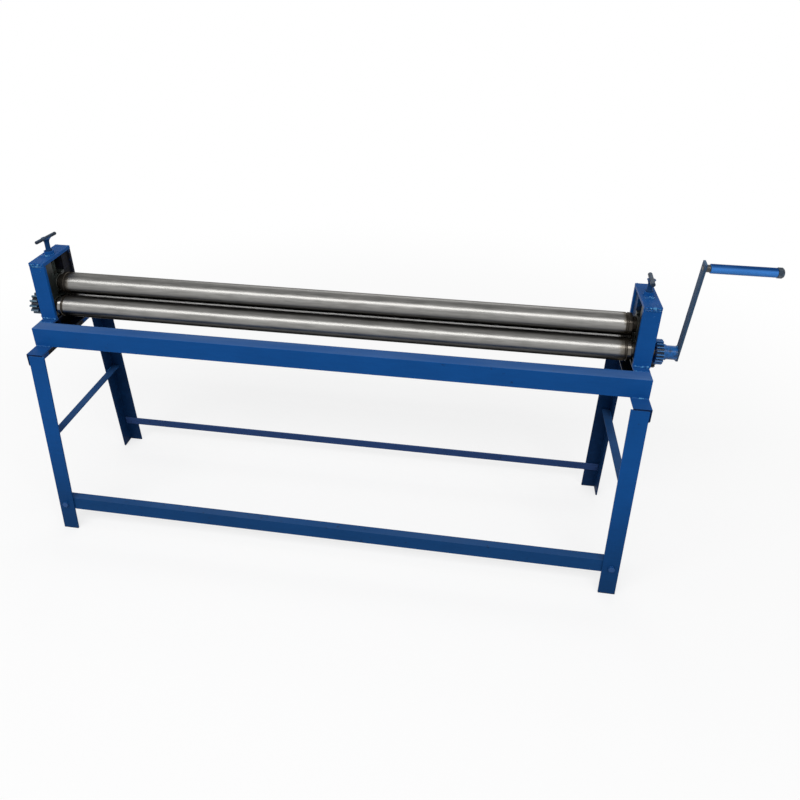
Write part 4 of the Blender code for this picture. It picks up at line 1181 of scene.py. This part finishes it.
@dataclass
class Housing:
    """One end's welded housing with its blocks and guides."""

    side: Side
    edge: float = 0.0008
    guide_edge: float = 0.0006
    block_edge: float = 0.0012
    grease_reach: float = 0.0193
    grease_bead: float = 0.0013
    wall_bead: float = 0.0013
    sink: float = 0.0008
    droplets_on_top: int = 22
    droplets_in_front: int = 14

    def build(self) -> None:
        """Build and dress the housing."""
        end, left = self.side.value, self.side is Side.LEFT
        # The plates' inner faces and undersides turn black, grease and painted shade inside the
        # housing; the side plate's inner face takes grey grease.
        for plate, direction, grease in (
                ("front", (0, 1, 0), BLACK_GREASE_AND_SHADE),
                ("rear", (1, -1, 0) if left else (0, 0, -1), BLACK_GREASE_AND_SHADE),
                ("top", (0, 0, -1), BLACK_GREASE_AND_SHADE),
                ("side", (-self.side.sign, 0, 0), GREY_GREASE)):
            node = "housing_%s_%s" % (plate, end)
            WORKSHOP.rounded(node, self.edge, grease_and_shade_paint(node + "_paint", direction, grease))
        # The rear guides take darker finishes than the plates: painted shade inside the housing.
        for node, width, finish in (
                ("lower_bearing_", self.guide_edge, BLOCK_STEEL),
                ("guide_front_", self.guide_edge, BLOCK_STEEL),
                ("guide_rear_", self.guide_edge, GUIDE_STEEL if left else GUIDE_PAINT),
                ("slide_block_", self.block_edge, BLOCK_STEEL)):
            WORKSHOP.rounded(node + end, width, finish)
        self._welds()
        self._grease()

    def _grease(self) -> None:
        """Squeeze old grease out of the bearings, round the shoulders of the rolls."""
        for block, rolls in (("slide_block_", ("roll_upper",)),
                             ("lower_bearing_", ("roll_front", "roll_rear"))):
            node = block + self.side.value
            face = self.side.inner(*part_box(node))
            job = WeldJob(node + "_grease", WORKSHOP.carrier[node], GREASE)
            for roll in rolls:
                centre = middle_of(roll)
                centre.x = face
                job.ring(centre, self.grease_reach, self.grease_bead)
            job.done()

    def _welds(self) -> None:
        """Weld the plates to each other and to the frame."""
        end = self.side.value
        job = WeldJob("housing_welds_" + end, "stand")
        low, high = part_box("housing_top_" + end)
        front_low, front_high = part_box("housing_front_" + end)
        foot = front_low.z
        for y, back in ((low.y, 1), (high.y, -1)):
            for place, inset, sink, radius, apart in (
                    (low.z, 0.002, self.sink, 0.0026, None),
                    (high.z - 0.0034, 0.005, 0.0012, 0.0042, 0.0085),
                    (foot + 0.0006, 0.001, self.sink, 0.0024, None),
                    (foot + 0.0012, 0.004, 0.0010, 0.0038, 0.0095)):
                ends = seam((low.x + inset, high.x - inset), y + back * sink, place)
                if apart is None:
                    job.run(ends, radius)
                else:
                    job.lumps(ends, radius, apart)
        wall = self.side.outer(low, high) - self.side.sign * self.sink
        for y in (front_high.y, high.y - (front_high.y - front_low.y)):
            job.run(seam(wall, y, (foot + 0.004, low.z - 0.002)), self.wall_bead)
        job.run(seam(wall, (front_high.y + 0.002, high.y - 0.010), low.z), self.wall_bead)
        nut_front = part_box("screw_nut_" + end)[0].y
        job.spatter(seam((low.x + 0.004, high.x - 0.004), (low.y + 0.004, nut_front - 0.004),
                         high.z), self.droplets_on_top)
        job.spatter(seam((low.x + 0.003, high.x - 0.003), low.y,
                         (low.z - 0.022, low.z - 0.004)), self.droplets_in_front)
        job.done()


@dataclass
class PressureScrew:
    """One pressure screw with its tee bar and the nut welded to the housing."""

    side: Side
    radius: float = 0.007
    core: float = 0.0060
    pitch: float = 0.003
    foot_radius: float = 0.009
    foot_height: float = 0.0044
    chamfer: float = 0.0004
    waist: float = 0.0056
    waist_step: float = 0.0006
    above_nut: float = 0.0035
    flare: float = 0.013
    flare_power: float = 2.4
    nut_edge: float = 0.0030
    bar_edge: float = 0.0008
    nut_bead: float = 0.0018
    nut_sink: float = 0.0010
    nut_lump: float = 0.0034
    nut_apart: float = 0.0062
    clearance: float = 0.0001
    crest: float = 0.15
    root: float = 0.0004
    turn_steps: int = 20
    steps: int = 48

    def build(self) -> None:
        """Build and dress the screw."""
        end = self.side.value
        screw, nut = "pressure_screw_" + end, "screw_nut_" + end
        coat = replace(SCREW_PAINT, name=screw + "_paint",
                       bare_under=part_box("housing_top_" + end)[1].z - 0.002)
        WORKSHOP.rounded(nut, self.nut_edge, HOUSING_PAINT, 4)
        WORKSHOP.rounded("tee_bar_" + end, self.bar_edge, TEE_PAINT, 3)
        foot_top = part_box(screw)[0].z + self.foot_height
        thread_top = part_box(nut)[1].z + self.above_nut
        shank = WORKSHOP.turned(self._outline(*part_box(screw), foot_top, thread_top),
                                middle_of(nut), self.steps, Axis.Z)
        WORKSHOP.piece(screw + "_dressed", shank, WORKSHOP.carrier[screw], coat, (screw,))
        self._thread(foot_top + self.pitch, thread_top, coat)
        self._welds()

    def _outline(self, low: Vector, high: Vector, foot_top: float, thread_top: float) -> list:
        """Draw the screw's outline: foot, core, waist and flared neck.

        Args:
            low: lowest corner of the screw's box.
            high: highest corner of the screw's box.
            foot_top: top of the foot.
            thread_top: top of the thread.

        Returns:
            Its (height, radius) points.
        """
        foot, cut, widest = self.foot_radius, self.chamfer, (high.x - low.x) / 2
        start = high.z - self.flare
        neck = [(start + self.flare * share,
                 self.waist + (widest - self.waist) * share ** self.flare_power)
                for share in (0.0, 0.2, 0.4, 0.55, 0.7, 0.8, 0.9, 1.0)]
        return [(low.z, foot - cut), (low.z + cut, foot), (foot_top - cut, foot),
                (foot_top, foot - cut), (foot_top, self.core), (thread_top, self.core),
                (thread_top + self.waist_step, self.waist), *neck]

    def _thread(self, start: float, stop: float, finish: Finish) -> None:
        """Wind the thread's ridge round the shank's core.

        Args:
            start: height of its first turn.
            stop: height of its last turn.
            finish: finish of the screw.
        """
        axis = middle_of("screw_nut_" + self.side.value)
        turns = (stop - start) / self.pitch
        half, top = self.pitch / 2, self.radius - self.clearance
        inside, skin = self.core - self.root, self.core + self.clearance
        outline = ((inside, -half), (skin, -half), (top, -self.crest * half),
                   (top, self.crest * half), (skin, half), (inside, half))
        bm = bmesh.new()
        bm.faces.new([bm.verts.new((axis.x + r, axis.y, start + z)) for r, z in outline])
        bmesh.ops.spin(bm, geom=bm.faces[:] + bm.edges[:] + bm.verts[:], cent=axis,
                       axis=Axis.Z.value, dvec=(0, 0, self.pitch / self.turn_steps),
                       angle=2 * math.pi * turns, steps=round(self.turn_steps * turns),
                       use_merge=False)
        bmesh.ops.remove_doubles(bm, verts=bm.verts, dist=JOIN)
        bmesh.ops.recalc_face_normals(bm, faces=bm.faces)
        WORKSHOP.piece("screw_thread_" + self.side.value, bm,
                       WORKSHOP.carrier["pressure_screw_" + self.side.value], finish)

    def _welds(self) -> None:
        """Weld the nut to the top plate."""
        low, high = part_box("screw_nut_" + self.side.value)
        axis = (low + high) / 2
        job = WeldJob("nut_welds_" + self.side.value, "stand")
        job.ring(Vector((axis.x, axis.y, low.z + 0.0004)),
                 (high.x - low.x) / 2 - self.nut_sink, self.nut_bead, Axis.Z)
        job.lumps(seam((axis.x - 0.009, axis.x + 0.007), (low.y - 0.0045, low.y - 0.0035),
                       low.z), self.nut_lump, self.nut_apart)
        job.done()


@dataclass
class Roll:
    """One turned roll with its shoulders, journals and gear seats."""

    node: str
    steel: GroundRoll
    radius: float = 0.025
    half_length: float = 0.650
    chamfer: float = 0.0012
    shoulder: float = 0.009
    shoulder_radius: float = 0.017
    journal_radius: float = 0.012
    seat_radius: float = 0.010
    seat_start: float = 0.6998
    end_chamfer: float = 0.001
    drill_radius: float = 0.004
    drill_depth: float = 0.003
    groove: float = 0.013
    groove_width: float = 0.005
    groove_depth: float = 0.0013
    steps: int = 96
    smooth: float = 25.0

    def half(self, end: float) -> list:
        """Draw the outline from the roll's middle to one shaft end.

        Args:
            end: distance from the roll's middle to the shaft's end.

        Returns:
            Its (distance from the middle, radius) points.
        """
        full, bottom = self.half_length, self.radius - self.groove_depth
        start = full - self.groove
        points = [(start, self.radius), (start + 0.2 * self.groove_width, bottom),
                  (start + 0.8 * self.groove_width, bottom),
                  (start + self.groove_width, self.radius),
                  (full - self.chamfer, self.radius), (full, self.radius - self.chamfer),
                  (full, self.shoulder_radius), (full + self.shoulder, self.shoulder_radius),
                  (full + self.shoulder, self.journal_radius)]
        shaft = self.journal_radius
        if end > self.seat_start + 0.004:
            points += [(self.seat_start, shaft), (self.seat_start, self.seat_radius)]
            shaft = self.seat_radius
        return points + [(end - self.end_chamfer, shaft), (end, shaft - self.end_chamfer),
                         (end, self.drill_radius), (end - self.drill_depth, 0.0)]

    def build(self) -> None:
        """Turn the roll and put it in place of its node."""
        low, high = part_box(self.node)
        centre = middle_of(self.node)
        centre.x = middle = (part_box("beam_front")[0].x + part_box("beam_front")[1].x) / 2
        left = [(middle - x, r) for x, r in reversed(self.half(middle - low.x))]
        right = [(middle + x, r) for x, r in self.half(high.x - middle)]
        start = self.half_length - self.groove
        finish = replace(self.steel, half_length=self.half_length, middle=middle,
                         groove=(start, start + self.groove_width))
        turned = WORKSHOP.turned(left + right, centre, self.steps)
        WORKSHOP.piece(self.node + "_dressed", turned, WORKSHOP.carrier[self.node], finish,
                       (self.node,), self.smooth)


@dataclass
class GearTrain:
    """The gears of one end with the idler's pin and lug."""

    side: Side
    tooth_edge: float = 0.0004
    lug_edge: float = 0.0006
    pin_edge: float = 0.0005
    shaft_reach: float = 0.0112
    shaft_bead: float = 0.0014
    lug_bead: float = 0.0016
    lug_sink: float = 0.0006

    def build(self) -> None:
        """Build and dress the train."""
        end = self.side.value
        for gear in ("front_gear_" + end, "rear_gear_" + end):
            WORKSHOP.rounded(gear, self.tooth_edge, self._paint(gear))
        for node, width in (("idler_gear_", self.tooth_edge), ("idler_lug_", self.lug_edge),
                            ("idler_pin_", self.pin_edge)):
            WORKSHOP.rounded(node + end, width, DARK_STEEL)
        self._welds()

    def _paint(self, gear: str) -> GearPaint:
        """Mix the enamel of one gear, which knows where its axis and its teeth are.

        Args:
            gear: name of the gear's node.

        Returns:
            The enamel.
        """
        low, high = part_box(gear)
        middle = (low + high) / 2
        paint = RIGHT_GEAR_PAINT if self.side is Side.RIGHT else LEFT_GEAR_PAINT
        return replace(paint, name=gear + "_paint", axis=(middle.y, middle.z),
                       tip=(high.y - low.y) / 2)

    def _welds(self) -> None:
        """Weld the gears to their shafts and the lug to the housing.

        The hub stands in front of the front gear at the right end, so that gear has no weld.
        """
        end = self.side.value
        for gear in ("front_gear_" + end, "rear_gear_" + end):
            if gear == "front_gear_right":
                continue
            centre = middle_of(gear)
            centre.x = self.side.outer(*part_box(gear))
            job = WeldJob(gear + "_weld", WORKSHOP.carrier[gear], self._paint(gear))
            job.ring(centre, self.shaft_reach, self.shaft_bead)
            job.done()
        low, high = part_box("idler_lug_" + end)
        face = self.side.inner(low, high) + self.side.sign * 2 * self.lug_sink
        job = WeldJob("idler_lug_welds_" + end, "stand")
        for y, out in ((low.y, 1), (high.y, -1)):
            job.run(seam(face, y + out * self.lug_sink, (low.z + 0.004, high.z - 0.002)),
                    self.lug_bead)
        job.done()


@dataclass
class Crank:
    """Hub, arm and handle of the crank."""

    hub_radius: float = 0.015
    weld_inset: float = 0.0004
    weld_sink: float = 0.0006
    weld_bead: float = 0.0018
    weld_spread: int = 35
    weld_step: int = 7

    def build(self) -> None:
        """Build and dress the crank."""
        for node, width, finish in (
                ("crank_hub", 0.0007, HUB_PAINT), ("crank_arm", 0.0008, ARM_PAINT),
                ("handle_stud", 0.0005, STUD_STEEL), ("handle_grip", 0.0008, GRIP_PAINT),
                ("handle_end_nut", 0.0005, NUT_STEEL)):
            WORKSHOP.rounded(node, width, finish)
        self._welds()

    def _welds(self) -> None:
        """Weld the arm to the hub's end."""
        centre, face = middle_of("crank_hub"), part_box("crank_hub")[1].x - self.weld_sink
        along = middle_of("handle_stud") - centre
        lean = math.atan2(along.z, along.y)
        reach = self.hub_radius - self.weld_inset
        job = WeldJob("crank_welds", WORKSHOP.carrier["crank_arm"])
        for start in (lean, lean + math.pi):
            arc = [start + math.radians(turn)
                   for turn in range(-self.weld_spread, self.weld_spread + 1, self.weld_step)]
            job.run([(face, centre.y + reach * math.cos(a), centre.z + reach * math.sin(a))
                     for a in arc], self.weld_bead)
        job.done()


@dataclass
class Studio:
    """Floor, lights, background and camera."""

    fill: float = 0.50
    ceiling: float = 0.50
    aim_height: float = 0.45
    key_power: float = 57.0
    key_size: tuple = (4.4, 0.80)
    key_place: tuple = (-0.25, -1.70, 2.55)
    rim_power: float = 12.0
    rim_size: tuple = (3.0, 1.0)
    rim_place: tuple = (0.0, 2.4, 2.2)
    floor_size: float = 30.0
    floor_colour: tuple = (0.42, 0.42, 0.42, 1.0)
    seen_colour: tuple = (0.95, 0.95, 0.95, 1.0)
    camera_place: tuple = (0.22747, -1.356575, 1.35293)
    yaw: float = -8.38
    pitch: float = -26.95
    roll: float = 0.25
    lens: float = 31.086
    sensor: float = 36.0
    reach: float = 100.0
    shift: tuple = (0.02216, -0.13734)

    def build(self) -> None:
        """Set up everything round the machine."""
        self._world()
        self._floor()
        self._lights()
        self._camera()
        bpy.context.scene.view_settings.view_transform = "Standard"

    def _world(self) -> None:
        """Make the background white, with a softer fill on the object."""
        world = bpy.data.worlds.new("studio")
        bpy.context.scene.world = world
        world.use_nodes = True
        b = Bench(world.node_tree)
        ray = b.node("LightPath").outputs
        seen = b.math("MAXIMUM", ray["Is Camera Ray"], ray["Is Glossy Ray"],
                      ray["Is Transmission Ray"])
        height = b.part(b.node("TexCoord").outputs["Generated"], "Z")
        shown = b.times(seen, b.span(height, 0.40, 0.92, 1.0, self.ceiling))
        b.fill(world.node_tree.nodes["Background"], Color=WHITE,
               Strength=b.plus(b.times(b.minus(1.0, seen), self.fill), shown))

    def _floor(self) -> None:
        """Lay a wide pale floor that fades into the white background."""
        bm = bmesh.new()
        bmesh.ops.create_grid(bm, x_segments=2, y_segments=2, size=self.floor_size)
        mesh = bpy.data.meshes.new("floor")
        bm.to_mesh(mesh)
        bm.free()
        floor = linked("floor", mesh)
        material = bpy.data.materials.new("floor_white")
        material.use_nodes = True
        tree = material.node_tree
        b = Bench(tree)
        tree.nodes.remove(tree.nodes["Principled BSDF"])
        ray = b.node("LightPath").outputs
        seen = b.math("MAXIMUM", ray["Is Camera Ray"], ray["Is Glossy Ray"])
        reach = b.measure("LENGTH", b.node("TexCoord").outputs["Object"])
        fade = b.times(b.span(reach, 0.8, 2.2, 0.72, 1.0), seen)
        matt = b.node("BsdfDiffuse", b.mix(seen, self.floor_colour, self.seen_colour))
        glow = b.node("Emission", WHITE)
        both = b.node("MixShader", fade, matt.outputs[0], glow.outputs[0])
        b.fill(tree.nodes["Material Output"], Surface=both.outputs[0])
        mesh.materials.append(material)

    def _lights(self) -> None:
        """Hang a long softbox over the front, and a weak one behind."""
        for name, place, size, power in (
                ("key", self.key_place, self.key_size, self.key_power),
                ("rim", self.rim_place, self.rim_size, self.rim_power)):
            lamp = bpy.data.lights.new(name, "AREA")
            lamp.shape = "RECTANGLE"
            lamp.size, lamp.size_y = size
            lamp.energy = power
            obj = linked(name, lamp)
            obj.location = place
            aim = Vector((place[0], 0.0, self.aim_height)) - Vector(place)
            obj.rotation_euler = aim.to_track_quat("-Z", "Y").to_euler()

    def _camera(self) -> None:
        """Stand the camera at the photograph's viewpoint, with its lens shift."""
        cam = bpy.data.cameras.new("camera")
        obj = linked("camera", cam)
        yaw, pitch, roll = (math.radians(a) for a in (self.yaw, self.pitch, self.roll))
        forward = Vector((math.sin(yaw) * math.cos(pitch), math.cos(yaw) * math.cos(pitch),
                          math.sin(pitch)))
        right = Vector((math.cos(yaw), -math.sin(yaw), 0.0))
        up = right.cross(forward)
        level = right * math.cos(roll) + up * math.sin(roll)
        upright = up * math.cos(roll) - right * math.sin(roll)
        pose = Matrix((level, upright, -forward)).transposed().to_4x4()
        pose.translation = Vector(self.camera_place)
        obj.matrix_world = pose
        cam.sensor_width = self.sensor
        cam.lens = self.lens
        cam.shift_x, cam.shift_y = self.shift
        cam.clip_end = self.reach
        bpy.context.scene.camera = obj


def main() -> None:
    """Build every sub-assembly in order."""
    logging.basicConfig(level=logging.INFO, format="%(name)s: %(message)s")
    Stand().build()
    Frame().build()
    for side in Side:
        Housing(side).build()
        PressureScrew(side).build()
        GearTrain(side).build()
    for node, steel in (("roll_upper", UPPER_STEEL), ("roll_front", FRONT_STEEL),
                        ("roll_rear", REAR_STEEL)):
        Roll(node, steel).build()
    Crank().build()
    Studio().build()


if __name__ == "__main__":
    main()
